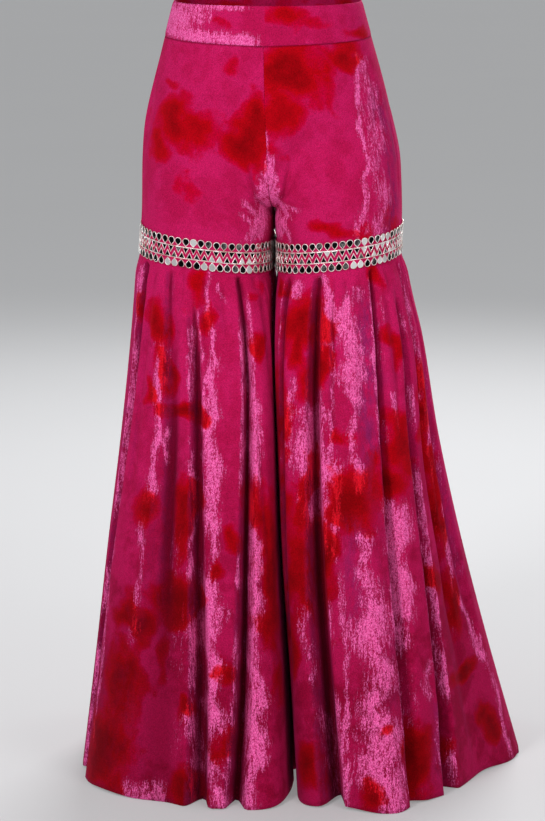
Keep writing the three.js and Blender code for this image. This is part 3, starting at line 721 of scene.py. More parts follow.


# Streaks of painted sheen and painted purple shade: how softly they end, and the waves down them of their
# place (as a share of the width, and in millimetres) and of their width, each as size, length and turn
STREAK_SOFTNESS = 1.35
STREAK_END = 0.12
STREAK_BENDS = ((0.22, 13, 5),)
STREAK_JITTER = ((1.2, 5.5, 3),)
STREAK_WIDTHS = ((0.28, 27, 1), (0.2, 10, 2))
CROSSWISE_DROP = 120
CROTCH_STREAK_SOFTNESS = 1.9
CROTCH_STREAK_ENDS = (0.25, 0.2)


def ripple(z, seed, waves):
    return sum(size * np.sin(z / length + turn * seed) for size, length, turn in waves)


def streaks(rows, share, z, length):
    """Strength of the streaks at points of a panel, from 0 to 1."""
    out = 0 * share
    for row in rows:
        over = row["to_share"] - row["share"]
        if abs(row["to_z"] - row["z"]) < CROSSWISE_DROP * abs(over):
            place = (share - row["share"]) * length
            across, t = line_distance(place, z, 0, row["z"], over * length, row["to_z"])
        else:
            across, t = run_offset(row, share, z, length)
        seed = 9 * row["share"]
        across = across + row["width"] * ripple(z, seed, STREAK_BENDS) + ripple(z, seed, STREAK_JITTER)
        width = row["width"] * (1 + ripple(z, seed, STREAK_WIDTHS))
        strength = row["strength"] * fade_ends(t, STREAK_END, STREAK_END)
        out = np.maximum(out, strength * smooth(STREAK_SOFTNESS, 0, np.abs(across) / width))
    return out


def crotch_streaks(key, outwards, z):
    out = 0 * outwards
    for row in CROTCH_PAINTED_SHEEN.get(key, ()):
        across, t = crumple_distance(row, outwards, z)
        strength = row["depth"] * fade_ends(t, *CROTCH_STREAK_ENDS)
        soft = smooth(CROTCH_STREAK_SOFTNESS, 0, np.abs(across) / row["width"])
        out = np.maximum(out, strength * soft)
    return out


# Meshes

CLOSE_UP = 0.55
SHELL_LIP = 0.04


def close_up(shares):
    """Places from 0 to 1, closer together near both ends."""
    return shares - CLOSE_UP * np.sin(2 * np.pi * shares) / (2 * np.pi)


def make_mesh(name, points, faces, material, attributes=(), smooth_faces=True):
    """A mesh object from points in millimetres, and quads and triangles, with float attributes."""
    mesh = bpy.data.meshes.new(name)
    mesh.from_pydata((points * MM).tolist(), [], faces)
    mesh.polygons.foreach_set("use_smooth", np.full(len(faces), smooth_faces))
    for key, values in dict(attributes).items():
        layer = mesh.attributes.new(key, "FLOAT", "POINT")
        layer.data.foreach_set("value", values.ravel())
    piece = bpy.data.objects.new(name, mesh)
    bpy.context.scene.collection.objects.link(piece)
    piece.data.materials.append(material)
    return piece


def grid_normals(grid, outwards):
    """Unit normals of a grid of points. outwards is 1 or -1, to turn them out of the garment."""
    down = np.gradient(grid, axis=0)
    along = np.gradient(grid, axis=1)
    normal = np.cross(along, down)
    return outwards * normal / np.linalg.norm(normal, axis=-1, keepdims=True)


def shell(name, outer, inner, turned, material, attributes, ring=False):
    """A closed wall between two grids of points, with a rounded lip along its top and its foot."""
    rows, cols = outer.shape[:2]
    lip = np.array([0, 0, SHELL_LIP])
    foot, top = (outer[-1] + inner[-1]) / 2 - lip, (outer[0] + inner[0]) / 2 + lip
    loop = np.concatenate([outer, foot[None], inner[::-1], top[None]])
    count = len(loop)
    r = np.arange(count)[:, None] * cols
    below = np.roll(r, -1, axis=0)
    c = np.arange(cols if ring else cols - 1)[None, :]
    beside = (c + 1) % cols
    faces = np.stack([r + c, below + c, below + beside, r + beside], -1).reshape(-1, 4).tolist()
    corners = []
    for col, flip in () if ring else ((0, True), (cols - 1, False)):
        k = np.arange(rows - 1)
        side = np.stack([k, 2 * rows - k, 2 * rows - 1 - k, k + 1], 1) * cols + col
        faces += (side if flip else side[:, [0, 3, 2, 1]]).tolist()
        for corner in ((rows - 1, rows, rows + 1), (0, 2 * rows, 2 * rows + 1)):
            ids = [row * cols + col for row in corner]
            corners.append(ids[::-1] if flip else ids)
    faces += corners
    if turned:
        faces = [face[::-1] for face in faces]
    values = {}
    for key, (outside, inside) in attributes.items():
        values[key] = np.concatenate([outside, outside[-1:], inside[::-1], outside[:1]])
    return make_mesh(name, loop.reshape(-1, 3), faces, material, values)


# Materials


class Nodes:
    """Short calls for building a node tree."""

    def __init__(self, name):
        self.material = bpy.data.materials.new(name)
        self.material.use_nodes = True
        self.tree = self.material.node_tree
        self.shader = self.tree.nodes["Principled BSDF"]
        self.place = self.add("ShaderNodeTexCoord").outputs["Object"]

    def add(self, kind, **settings):
        node = self.tree.nodes.new(kind)
        for key, value in settings.items():
            setattr(node, key, value)
        return node

    def set(self, socket, value):
        if isinstance(value, bpy.types.NodeSocket):
            self.tree.links.new(value, socket)
        else:
            socket.default_value = value

    def attribute(self, name):
        return self.add("ShaderNodeAttribute", attribute_name=name).outputs["Fac"]

    def noise(self, scale, detail=2.0, roughness=0.5, stretch=(1, 1, 1)):
        mapping = self.add("ShaderNodeMapping")
        self.set(mapping.inputs["Vector"], self.place)
        mapping.inputs["Scale"].default_value = stretch
        node = self.add("ShaderNodeTexNoise")
        self.set(node.inputs["Vector"], mapping.outputs["Vector"])
        node.inputs["Scale"].default_value = scale
        node.inputs["Detail"].default_value = detail
        node.inputs["Roughness"].default_value = roughness
        return node.outputs["Fac"]

    def height(self):
        """Height in the frame, in metres."""
        node = self.add("ShaderNodeSeparateXYZ")
        self.set(node.inputs[0], self.place)
        return node.outputs["Z"]

    def math(self, operation, a, b=0.0):
        node = self.add("ShaderNodeMath", operation=operation)
        self.set(node.inputs[0], a)
        self.set(node.inputs[1], b)
        return node.outputs[0]

    def step(self, value, start, end, low=0.0, high=1.0):
        node = self.add("ShaderNodeMapRange", interpolation_type="SMOOTHSTEP")
        self.set(node.inputs["Value"], value)
        for key, number in (("From Min", start), ("From Max", end), ("To Min", low), ("To Max", high)):
            node.inputs[key].default_value = number
        return node.outputs["Result"]

    def centred(self, value, size):
        """A noise's difference from its middle, times a size."""
        return self.math("MULTIPLY", self.math("SUBTRACT", value, 0.5), size)

    def mix(self, share, a, b, blend="MIX"):
        node = self.add("ShaderNodeMix", data_type="RGBA", blend_type=blend)
        self.set(node.inputs[0], share)
        self.set(node.inputs[6], a)
        self.set(node.inputs[7], b)
        return node.outputs[2]

    def ramp(self, value, steps):
        """A colour ramp from places and colours."""
        node = self.add("ShaderNodeValToRGB")
        self.set(node.inputs["Fac"], value)
        elements = node.color_ramp.elements
        while len(elements) < len(steps):
            elements.new(1.0)
        for element, (place, colour) in zip(elements, steps):
            element.position = place
            element.color = colour
        return node.outputs["Color"]

    def multiply(self, colour, value):
        return self.mix(1, colour, value, "MULTIPLY")

    def bump(self, height, distance, strength=1.0, normal=None):
        node = self.add("ShaderNodeBump")
        self.set(node.inputs["Height"], height)
        node.inputs["Distance"].default_value = distance
        node.inputs["Strength"].default_value = strength
        if normal is not None:
            self.set(node.inputs["Normal"], normal)
        return node.outputs["Normal"]


MAGENTA = (0.480, 0.008, 0.090, 1)
MAGENTA_HIP = (0.405, 0.005, 0.062, 1)
# Magenta painted darker, as shade, low on the flares
MAGENTA_SHADED_LOW = (0.235, 0.0016, 0.026, 1)
CRIMSON = (0.440, 0.0004, 0.030, 1)
RED = (0.400, 0.0003, 0.005, 1)
RED_DEEP = (0.225, 0.0002, 0.002, 1)
# Colours of the painted sheen: pink, and red over the dye
SHEEN_PINK = (0.850, 0.130, 0.400, 1)
SHEEN_PINK_DEEP = (0.560, 0.030, 0.180, 1)
SHEEN_RED = (0.820, 0.006, 0.022, 1)
# Colours of the painted purple shade, on cloth turned from the light, and of the painted shade in pleats,
# creases and seams
PURPLE_SHADE_COLOUR = (0.200, 0.012, 0.095, 1)
PAINTED_SHADE_COLOUR = (0.090, 0.0004, 0.0065, 1)
DYE_STEPS = ((0.12, MAGENTA), (0.34, CRIMSON), (0.60, RED), (1.0, RED_DEEP))

# The colours are painted darker down the flares, as shade, between these heights in metres
SHADED_LOWER_FROM_TO = (-0.42, -0.90)


def velvet_material():
    """Crushed velvet: magenta and soft red dye patches, painted sheen in ragged, speckled streaks, painted
    purple shade and painted shade, and colours painted darker down the flares as shade.
    """
    n = Nodes("crushed_velvet")
    # The attributes carry the dye and the painted sheen, painted purple shade and painted shade of each
    # point
    dye, painted_sheen = n.attribute("dye"), n.attribute("painted_sheen")
    turn, painted_shade = n.attribute("turn"), n.attribute("painted_shade")
    cloud = n.noise(11, 3, 0.6)
    blotch = n.noise(46, 5, 0.62)
    pile = n.noise(720, 2, 0.8, (1, 1, 0.5))
    grain = n.noise(950, 2, 0.7)
    brushed = n.noise(300, 3, 0.7, (1, 1, 0.12))
    mottled = n.noise(95, 4, 0.7, (1, 1, 0.4))

    dyed = n.math("ADD", n.math("MULTIPLY", dye, 0.9), n.centred(blotch, 0.85))
    dyed = n.math("ADD", dyed, n.centred(cloud, 0.6))
    # Painted shade: the colours grow darker down the flares
    low = n.step(n.height(), *SHADED_LOWER_FROM_TO)
    clear = n.step(n.math("ADD", cloud, n.centred(blotch, 0.8)), 0.34, 0.60)
    clear = n.math("MULTIPLY", clear, n.math("SUBTRACT", 1.0, n.math("MULTIPLY", low, 0.55)))
    magenta = n.mix(clear, n.mix(low, MAGENTA_HIP, MAGENTA_SHADED_LOW), MAGENTA)
    dyes = n.ramp(n.math("ADD", dyed, n.math("MULTIPLY", low, 0.08)), DYE_STEPS)
    dyes = n.multiply(dyes, n.step(low, 0, 1, 1.0, 0.66))
    colour = n.mix(n.step(dyed, 0.06, 0.36), magenta, dyes)

    # Painted purple shade on cloth turned from the light
    purple = n.math("MULTIPLY", turn, n.step(mottled, 0.34, 0.60))
    colour = n.mix(n.math("MULTIPLY", purple, 0.85), colour, PURPLE_SHADE_COLOUR)

    # Painted sheen: ragged, speckled bright streaks and stray specks, pink, or red over the dye
    rough = n.math("ADD", n.centred(pile, 1.7), n.centred(brushed, 2.1))
    rough = n.math("ADD", rough, n.centred(mottled, 1.3))
    ragged = n.math("ADD", painted_sheen, rough)
    bright = n.step(ragged, 0.36, 1.04)
    bright = n.math("MULTIPLY", bright, n.step(painted_sheen, 0.02, 0.30))
    stray = n.math("ADD", n.centred(pile, 1.6), n.centred(blotch, 1.4))
    bright = n.math("MAXIMUM", bright, n.step(stray, 0.32, 0.70, 0.0, 0.30))
    on_red = n.step(dyed, 0.32, 0.54)
    highlight = n.mix(on_red, n.mix(n.step(pile, 0.36, 0.60), SHEEN_PINK_DEEP, SHEEN_PINK), SHEEN_RED)
    strength = n.math("MULTIPLY", bright, n.step(on_red, 0, 1, 1.0, 0.6))
    # Painted shade in pleats, creases and seams, where the painted sheen is also weaker
    colour = n.mix(n.math("MULTIPLY", painted_shade, 0.8), colour, PAINTED_SHADE_COLOUR)
    colour = n.mix(n.math("MULTIPLY", strength, n.step(painted_shade, 0.2, 1.0, 1.0, 0.25)), colour, highlight)
    pepper = n.step(grain, 0.32, 0.68, 0.66, 1.22)
    n.set(n.shader.inputs["Base Color"], n.multiply(colour, pepper))

    n.set(n.shader.inputs["Roughness"], n.step(bright, 0, 1, 0.95, 0.62))
    n.shader.inputs["Specular IOR Level"].default_value = 0.04
    n.shader.inputs["Sheen Weight"].default_value = 0.12
    n.shader.inputs["Sheen Roughness"].default_value = 0.4
    n.shader.inputs["Sheen Tint"].default_value = (1.0, 0.10, 0.45, 1)
    crushed = n.bump(n.math("MULTIPLY", mottled, n.step(bright, 0, 0.6, 0.35, 1.0)), 0.0022, 0.5)
    n.set(n.shader.inputs["Normal"], n.bump(pile, 0.0007, 0.6, crushed))
    return n.material


def mirror_material():
    """Small silvered mirrors: each has a painted reflection, light or dark, by its attribute, with a soft
    uneven edge.
    """
    n = Nodes("mirrors")
    painted_reflection = n.attribute("painted_reflection")
    mottled = n.noise(260, 2, 0.6)
    value = n.step(n.math("ADD", painted_reflection, n.centred(mottled, 0.5)), 0.25, 0.8)
    n.set(n.shader.inputs["Base Color"], n.mix(value, (0.006, 0.006, 0.007, 1), (0.96, 0.95, 0.94, 1)))
    n.shader.inputs["Metallic"].default_value = 1.0
    n.set(n.shader.inputs["Roughness"], n.step(mottled, 0.3, 0.7, 0.05, 0.16))
    n.set(n.shader.inputs["Normal"], n.bump(n.noise(120, 2), 0.0004, 0.3))
    return n.material


def silver_material():
    """Silvery outlines of couched metal thread, with a slightly peach tone in patches."""
    n = Nodes("silver_thread")
    twist = n.noise(900, 2, 0.7)
    tone = n.noise(140, 3, 0.6)
    colour = n.mix(n.step(tone, 0.36, 0.56), (0.60, 0.45, 0.38, 1), (0.94, 0.92, 0.90, 1))
    n.set(n.shader.inputs["Base Color"], colour)
    n.shader.inputs["Metallic"].default_value = 0.75
    n.set(n.shader.inputs["Roughness"], n.step(twist, 0.3, 0.7, 0.24, 0.44))
    n.set(n.shader.inputs["Normal"], n.bump(twist, 0.0006, 0.7))
    return n.material


def floor_material():
    n = Nodes("pale_floor")
    tone = n.noise(1.4, 2)
    n.set(n.shader.inputs["Base Color"], n.mix(tone, (0.42, 0.42, 0.43, 1), (0.44, 0.44, 0.45, 1)))
    n.shader.inputs["Roughness"].default_value = 0.85
    n.shader.inputs["Specular IOR Level"].default_value = 0.2
    n.shader.inputs["Emission Color"].default_value = (0.98, 0.99, 1.0, 1)
    n.shader.inputs["Emission Strength"].default_value = 0.21
    return n.material


velvet = velvet_material()
mirror = mirror_material()
silver = silver_material()

# Shells of the cloth

SEAM_PUCKER = 0.7
SEAM_PUCKER_WIDTH = 3.5
pieces = {}

# The cloth between the legs stands close to the other leg's, above and below the trim, near the inseam
THIGHS_APART = 0.6
PRESS_TOP = (-4, -14)
PRESS_ABOVE_TRIM = (-297, -289)
PRESS_BELOW_TRIM = (-342, -356)
PRESS_END = (-520, -400)
PRESS_SHARE = (0.16, 0.02)


def pucker(share, length):
    """The slight furrow along the seams at both ends of a panel."""
    near = np.minimum(share, 1 - share) * length
    return -SEAM_PUCKER * np.exp(-((near / SEAM_PUCKER_WIDTH) ** 2))


def press(share, z):
    """How far the cloth between the legs stands towards the other leg."""
    above = smooth(*PRESS_TOP, z - CROTCH_Z) * smooth(*PRESS_ABOVE_TRIM, z)
    below = smooth(*PRESS_BELOW_TRIM, z) * smooth(*PRESS_END, z)
    return (leg_gap(z) - THIGHS_APART) * smooth(*PRESS_SHARE, share) * (above + below)


def inside_of(outer, lift, q, share, z):
    """The inner grid: the cloth's thickness behind the outer one, and in the seam's plane at both ends."""
    inner = outer - CLOTH * grid_normals(outer, q.sign * q.face_sign)
    for col in (slice(0, 1), slice(-1, None)):
        inner[:, col] = q.place(share[:, col], z[:, col], lift[:, col] - CLOTH)
    for row in (0, -1):
        inner[row, :, 2] = outer[row, :, 2]
    return inner


# How a flare's own slopes and bends add painted sheen and painted shade to its cloth, over and beside the
# placed streaks. The pairs are where each effect starts and where it is full.
PATCH_LENGTHS = (57, 31)
PATCH_TURNS = (23, 11)
PATCHY_SLOPE = (0.15, 0.75)
PATCHY_LIP = (0.05, 0.6)
SLOPE_SHEEN = 1.6
LIP_BEND = (0.12, 0.5)
LIP_SHEEN = 0.8
FLANK_SLOPE = (0.25, 1.6)
FLANK_SHADE = 0.45
FURROW_BEND = (0.07, 0.30)
FURROW_SHADE = 0.85
TURN_SLOPE = 1.3
TURN_START = 0.2
TURN_PURPLE_SHADE = 0.5
INSIDE_SHADE = 0.45


def cloth_attributes(key, q, share, z, painted_shade, outwards=0, slope=None, slopes=0):
    """Dye, painted sheen, painted purple shade and painted shade outside; the wrong side of the cloth
    inside, with the dye, no sheen and an even painted shade.
    """
    length = q.length(z)
    dye = patches(key, share, z, length)
    painted_sheen = streaks(PAINTED_SHEEN_STREAKS.get(key, ()), share, z, length)
    painted_sheen = np.maximum(painted_sheen, crotch_streaks(key, outwards, z))
    turn = streaks(PURPLE_SHADE_STREAKS.get(key, ()), share, z, length)
    if slope is not None:
        # Slopes facing the key light and lips of pleats get painted sheen; slopes turned from it get painted
        # shade and painted purple shade, and furrows painted shade
        towards = slope * q.sign * -q.face_sign
        waves = [z / PATCH_LENGTHS[k] + share * PATCH_TURNS[k] for k in (0, 1)]
        patchy = (1 + np.sin(waves[0]) * np.sin(waves[1] + q.sign)) / 2
        facing = np.clip(towards * SLOPE_SHEEN, 0, 1)
        painted_sheen = np.maximum(painted_sheen, slopes * facing * smooth(*PATCHY_SLOPE, patchy))
        bend = -np.gradient(slope, axis=1) / np.gradient(share * length, axis=1)
        painted_sheen = np.maximum(painted_sheen, LIP_SHEEN * smooth(*LIP_BEND, bend) * smooth(*PATCHY_LIP, patchy))
        painted_shade = np.maximum(painted_shade, FLANK_SHADE * smooth(*FLANK_SLOPE, -towards))
        painted_shade = np.maximum(painted_shade, FURROW_SHADE * smooth(*FURROW_BEND, -bend))
        turn = np.maximum(turn, TURN_PURPLE_SHADE * np.clip(-towards * TURN_SLOPE - TURN_START, 0, 1))
    return {
        "dye": (dye, dye),
        "painted_sheen": (painted_sheen, 0 * painted_sheen),
        "turn": (turn, 0 * turn),
        "painted_shade": (painted_shade, INSIDE_SHADE + 0 * painted_shade),
    }


# Points of each panel's grid, from seam to seam and from top to foot
HIP_COLUMNS = 110
HIP_ROWS = 110
FLARE_COLUMNS = 230
FLARE_ROWS = 116
BAND_HALF_COLUMNS = 90
BAND_ROWS = 22
FLARE_ROW_GROWTH = 1.15

# How far from a panel's edges its fine creases come in
HIP_CREASES_FROM_TOP = 6
HIP_CREASES_FROM_FOOT = 8
FLARE_CREASES_FROM_TOP = 10

# The flares' hems, the painted shade in their pleats, and how much their slopes add painted sheen
HEM_WAVE = 2.2
HEM_RIPPLES = (31, 13)
VALLEY_TOP_DEPTH = 8
VALLEY_HEM_DEPTH = 32
VALLEY_SHADE = (0.42, 0.98)
SLOPES_SHARE = {"front": 0.25, "back": 0.8}

# Shade at the hips' centre seam below the crotch, in their creases and under the waistband: strength, and
# where it starts and is full
SEAM_SHADE = (0.5, (2.6, 0.6), (-246, -264))
CREASE_SHADE = (0.25, (-0.75, -3))
BAND_SHADE = (0.8, (2.6, 0.4))


def add_shell(key, q, outer, inner, attributes):
    pieces[key] = shell(f"velvet_{key}", outer, inner, q.sign * q.face_sign < 0, velvet, attributes)


def hip_panel(side, face):
    q = QUARTERS[(side, face)]
    key = f"hip_{side}_{face}"
    share = np.broadcast_to(close_up(np.linspace(0, 1, HIP_COLUMNS)), (HIP_ROWS, HIP_COLUMNS))
    top, foot = band_edge(face, share) - SEAM_GAP, flare_seam(share)
    z = lerp(top, foot, np.linspace(0, 1, HIP_ROWS)[:, None])
    length = q.length(z)
    base = q.place(share, z, 0 * z)
    middle = np.where(z > CROTCH_Z, column(BODY, "mid", z), column(LEGS, "mid", z))
    outwards = q.sign * (base[..., 0] - middle)
    edge = smooth(0, HIP_CREASES_FROM_TOP, top - z) * smooth(0, HIP_CREASES_FROM_FOOT, z - foot)
    fine = crease_lift(key, share, z, length, outwards) + pucker(share, length)
    lift = fine * edge + press(share, z)
    outer = q.place(share, z, lift)
    outer[..., 1] += q.face_sign * centre_span(outwards, z)
    # Painted shade at the centre seam below the crotch, in creases and under the waistband
    strength, near, height = SEAM_SHADE
    painted_shade = strength * smooth(*near, np.abs(outwards)) * smooth(*height, z)
    strength, deep = CREASE_SHADE
    painted_shade = painted_shade + strength * smooth(*deep, lift)
    strength, near = BAND_SHADE
    painted_shade = np.maximum(painted_shade, strength * smooth(*near, top - z))
    attributes = cloth_attributes(key, q, share, z, np.clip(painted_shade, 0, 1), outwards)
    add_shell(key, q, outer, inside_of(outer, lift, q, share, z), attributes)


def flare_panel(side, face, seed):
    q = QUARTERS[(side, face)]
    key = f"flare_{side}_{face}"
    share = np.broadcast_to(close_up(np.linspace(0, 1, FLARE_COLUMNS)), (FLARE_ROWS, FLARE_COLUMNS))
    t = np.linspace(0, 1, FLARE_ROWS)[:, None] ** FLARE_ROW_GROWTH
    ripples = [1 + np.sin(share * HEM_RIPPLES[k] + (k + 1) * seed) for k in (0, 1)]
    hem = HEM_Z + HEM_WAVE * ripples[0] * ripples[1] / 2
    z = lerp(flare_seam(share) - SEAM_GAP, hem, t)
    length = q.length(z)
    edge = smooth(0, FLARE_CREASES_FROM_TOP, flare_seam(share) - z)
    fine = crease_lift(key, share, z, length, 0 * z) + pucker(share, length)
    fine = fine * edge + gather_lift(share, z, length, seed)
    pleats = flare_lift(q, share, z)
    lift = pleats + fine + press(share, z)
    outer = q.place(share, z, lift)
    slope = np.gradient(lift, axis=1) / np.gradient(share * length, axis=1)
    # Painted shade in the pleats' valleys
    valley = -pleats / lerp(VALLEY_TOP_DEPTH, VALLEY_HEM_DEPTH, drop_share(z) ** PLEAT_GROWTH)
    painted_shade = smooth(*VALLEY_SHADE, valley)
    slopes = SLOPES_SHARE[face]
    attributes = cloth_attributes(key, q, share, z, painted_shade, slope=slope, slopes=slopes)
    add_shell(key, q, outer, inside_of(outer, lift, q, share, z), attributes)


# The waistband's edges roll inwards at its top and its foot, and its middle is slightly uneven
BAND_TOP_ROLL = (0.9, (0.12, 0))
BAND_FOOT_ROLL = (0.5, (0.9, 1))
BAND_UNEVEN = 0.35
BAND_UNEVEN_WAVES = (9, 3.1)
BAND_EVEN_FROM_SIDE = (1, 0.9)
BAND_PUCKER_SHARE = (0.5, 0.9)


def waistband(face):
    grids = []
    for side in ("right", "left"):
        q = QUARTERS[(side, face)]
        half = close_up(np.linspace(0, 1, 2 * BAND_HALF_COLUMNS + 1)) * 2
        places = half[BAND_HALF_COLUMNS:] - 1
        share = np.broadcast_to(places, (BAND_ROWS, len(places)))
        t = np.linspace(0, 1, BAND_ROWS)[:, None]
        z = band_edge(face, share) * t
        length = q.length(z)
        roll = 0
        for depth, where in (BAND_TOP_ROLL, BAND_FOOT_ROLL):
            roll = roll - depth * smooth(*where, t)
        uneven = BAND_UNEVEN * np.sin(share * BAND_UNEVEN_WAVES[0] + 2 * q.sign)
        uneven = uneven * np.sin(t * BAND_UNEVEN_WAVES[1]) * smooth(*BAND_EVEN_FROM_SIDE, share)
        seam = pucker(share, length) * smooth(*BAND_PUCKER_SHARE, share)
        outer = q.place(share, z, BAND_PROUD + roll + uneven + seam)
        inner = q.place(share, z, 0 * z + BAND_PROUD - BAND_CLOTH)
        grids.append((outer, inner, cloth_attributes(f"band_{side}_{face}", q, share, z, 0 * z)))
    right, left = grids

    def join(a, b):
        return np.concatenate([a[:, ::-1], b[:, 1:]], axis=1)

    outer, inner = join(right[0], left[0]), join(right[1], left[1])
    attributes = {}
    for name, values in right[2].items():
        attributes[name] = [join(values[k], left[2][name][k]) for k in (0, 1)]
    key = f"waistband_{face}"
    pieces[key] = shell(f"velvet_{key}", outer, inner, face == "back", velvet, attributes)


for face in ("front", "back"):
    waistband(face)
    for side in ("right", "left"):
        hip_panel(side, face)
        flare_panel(side, face, 3 + len(pieces))

# Mirror work: rings of small mirrors in couched outlines, on a ribbon over the thigh seam

TRIM_HEIGHT = 39
TRIM_CLEAR = 0.6
TRIM_BASE = 0.8
OUTLINE_HALF = 0.52
OUTLINE_STAND = 0.85
MIRROR_STAND = 0.5
MIRROR_EDGE = 1.2
MIRROR_SUNK = 0.1
RIBBON_COLUMNS = 512
RIBBON_ROWS = 8
RIBBON_EDGES = (0.4, 0.2)
SCALLOP = 2.2
SCALLOP_SHARPNESS = 1.5
RIBBON_DYE = 0.55
RIBBON_DYE_EDGE = (0.2, 0.9)
RIBBON_DYE_LENGTHS = (47, 29)
LINE_STEPS = 256
LINE_STAND = 0.8

# How uneven the handwork is: each mirror's place, height, outline's size and lean
TIGHT = 0.985
PLACE_SHIFT = 0.05
HEIGHT_SHIFT = 0.25
OUTLINE_SIZES = (0.96, 1.03)
TILT = 0.05
TILT_SHARE = 0.6
# Painted reflections: the share of mirrors that look white, how white, and the mostly dark levels of the
# rest
WHITE_REFLECTION_SHARE = 0.05
WHITE_REFLECTION = 0.95
PAINTED_REFLECTIONS = (0.0, 0.05, 0.1, 0.36)

# Cross-sections of the silver threads, as sideways and outwards shares
THREAD = ((-1, -0.25), (-0.72, 0.62), (0, 1), (0.72, 0.62), (1, -0.25))
LINE = ((-0.4, -0.2), (-0.3, 0.5), (0, 0.75), (0.3, 0.5), (0.4, -0.2))

# Rows from the foot: shape, which way its point goes, height of its foot and its own height, how many
# round the leg, and the shift of the first one, as a share of the spacing
MIRROR_ROWS = table(
    "shape point foot tall count shift",
    ("drop", 1, 0.6, 11.4, 64, 0.0),
    ("triangle", 1, 12.4, 9.2, 64, 0.0),
    ("triangle", -1, 17.8, 9.2, 64, 0.5),
    ("drop", -1, 27.4, 11.4, 64, 0.5),
)
LINE_HEIGHTS = (12.3, 27.1)

# Where mirrors get a painted white reflection: the row, and the place and half width round the leg, both as
# shares
WHITE_REFLECTION_FLASHES = tables(
    "row at reach",
    right=(
        (0, 0.145, 0.016), (0, 0.235, 0.02), (0, 0.31, 0.012), (1, 0.14, 0.03), (1, 0.215, 0.012),
        (3, 0.125, 0.01), (0, 0.66, 0.03), (2, 0.8, 0.03),
    ),
    left=(
        (1, 0.115, 0.008), (0, 0.36, 0.02), (0, 0.3, 0.012), (2, 0.36, 0.03), (3, 0.31, 0.012),
        (3, 0.37, 0.016), (1, 0.39, 0.012), (2, 0.75, 0.03),
    ),
)


def ring_lengths(side):
    level = SEAM_SIDE_Z + TRIM_HEIGHT / 2
    return [float(QUARTERS[(side, face)].length(level)) for face in ("front", "back")]


def on_trim(side, along, up, lift):
    """Points at distances along a leg's trim, from the inseam round the front, at heights over its foot."""
    front, back = ring_lengths(side)
    along = np.mod(along, front + back)
    ahead = along < front
    share = np.where(ahead, along / front, (front + back - along) / back)
    z = flare_seam(share) + up
    lift = TRIM_CLEAR + lift + 0 * z
    at = [QUARTERS[(side, face)].place(share, z, lift) for face in ("front", "back")]
    return np.where(ahead[..., None], at[0], at[1])


# Shapes of the mirrors' outlines, as shares of their widths and sides
DROP_ROUND = 0.48
DROP_ANGLES = 15
CORNER_CUTS = (0.14, 0.03)
BISECTOR_LIMIT = 1.1


def drop_outline(width, tall):
    """A teardrop with its point up: a round foot and two straight sides to the point."""
    radius = width * DROP_ROUND
    to_point = tall - radius
    touch = math.acos(radius / to_point)
    angles = np.linspace(math.pi / 2 + touch, 2 * math.pi + math.pi / 2 - touch, DROP_ANGLES)
    round_end = np.stack([radius * np.cos(angles), radius * np.sin(angles)], 1)
    return np.concatenate([[[0, to_point]], round_end]) - [0, to_point - tall / 2]


def triangle_outline(width, tall):
    """A triangle with its point up and slightly rounded corners."""
    corners = np.array([[0, tall / 2], [-width / 2, -tall / 2], [width / 2, -tall / 2]])
    far, near = CORNER_CUTS
    out = []
    for i in range(3):
        here, before, after = corners[i], corners[i - 1], corners[(i + 1) % 3]
        for other, share in ((before, far), (before, near), (after, near), (after, far)):
            out.append(lerp(here, other, share))
    return np.array(out)


def inset(outline, distance):
    """The outline moved inwards along its corners' bisectors."""
    before, after = np.roll(outline, 1, axis=0), np.roll(outline, -1, axis=0)
    normals = []
    for a, b in ((before, outline), (outline, after)):
        edge = (b - a) / np.linalg.norm(b - a, axis=1, keepdims=True)
        normals.append(np.stack([-edge[:, 1], edge[:, 0]], 1))
    both = normals[0] + normals[1]
    reach = distance * np.minimum(2 / (both**2).sum(1), BISECTOR_LIMIT)
    return outline + both * reach[:, None]


def frames_on_trim(side, along, up):
    """Centres and axes (along, up, out) of pieces on the trim."""
    step = 1.5
    centre = on_trim(side, along, up, 0)
    t = on_trim(side, along + step, up, 0) - on_trim(side, along - step, up, 0)
    t /= np.linalg.norm(t, axis=-1, keepdims=True)
    w = on_trim(side, along, up + step, 0) - on_trim(side, along, up - step, 0)
    out = np.cross(t, w)
    out /= np.linalg.norm(out, axis=-1, keepdims=True)
    away = centre - centre.mean(axis=0)
    out *= np.sign((out * away).sum(-1, keepdims=True))
    w = w - out * (w * out).sum(-1, keepdims=True)
    w /= np.linalg.norm(w, axis=-1, keepdims=True)
    return centre, t, w, out


def spread(template, frames):
    """A template's points, as (along, up, out), set at each frame."""
    centre, t, w, out = (v[:, None, :] for v in frames)
    return centre + template[..., 0:1] * t + template[..., 1:2] * w + template[..., 2:3] * out


def loop_quads(rings, steps):
    """Quads between closed rings of points, and from the last ring to the first one."""
    p = np.arange(rings)[:, None]
    k = np.arange(steps)[None, :]
    here, below, j = p * steps, (p + 1) % rings * steps, (k + 1) % steps
    return np.stack([here + k, here + j, below + j, below + k], -1).reshape(-1, 4)


def tube_loop(outline):
    """Points and quads of a half-round thread along a closed outline."""
    rings = []
    for sideways, high in THREAD:
        ring = inset(outline, OUTLINE_HALF * (1 + sideways))
        height = np.full((len(ring), 1), TRIM_BASE + OUTLINE_STAND * high)
        rings.append(np.concatenate([ring, height], 1))
    return np.concatenate(rings), loop_quads(len(THREAD), len(outline))


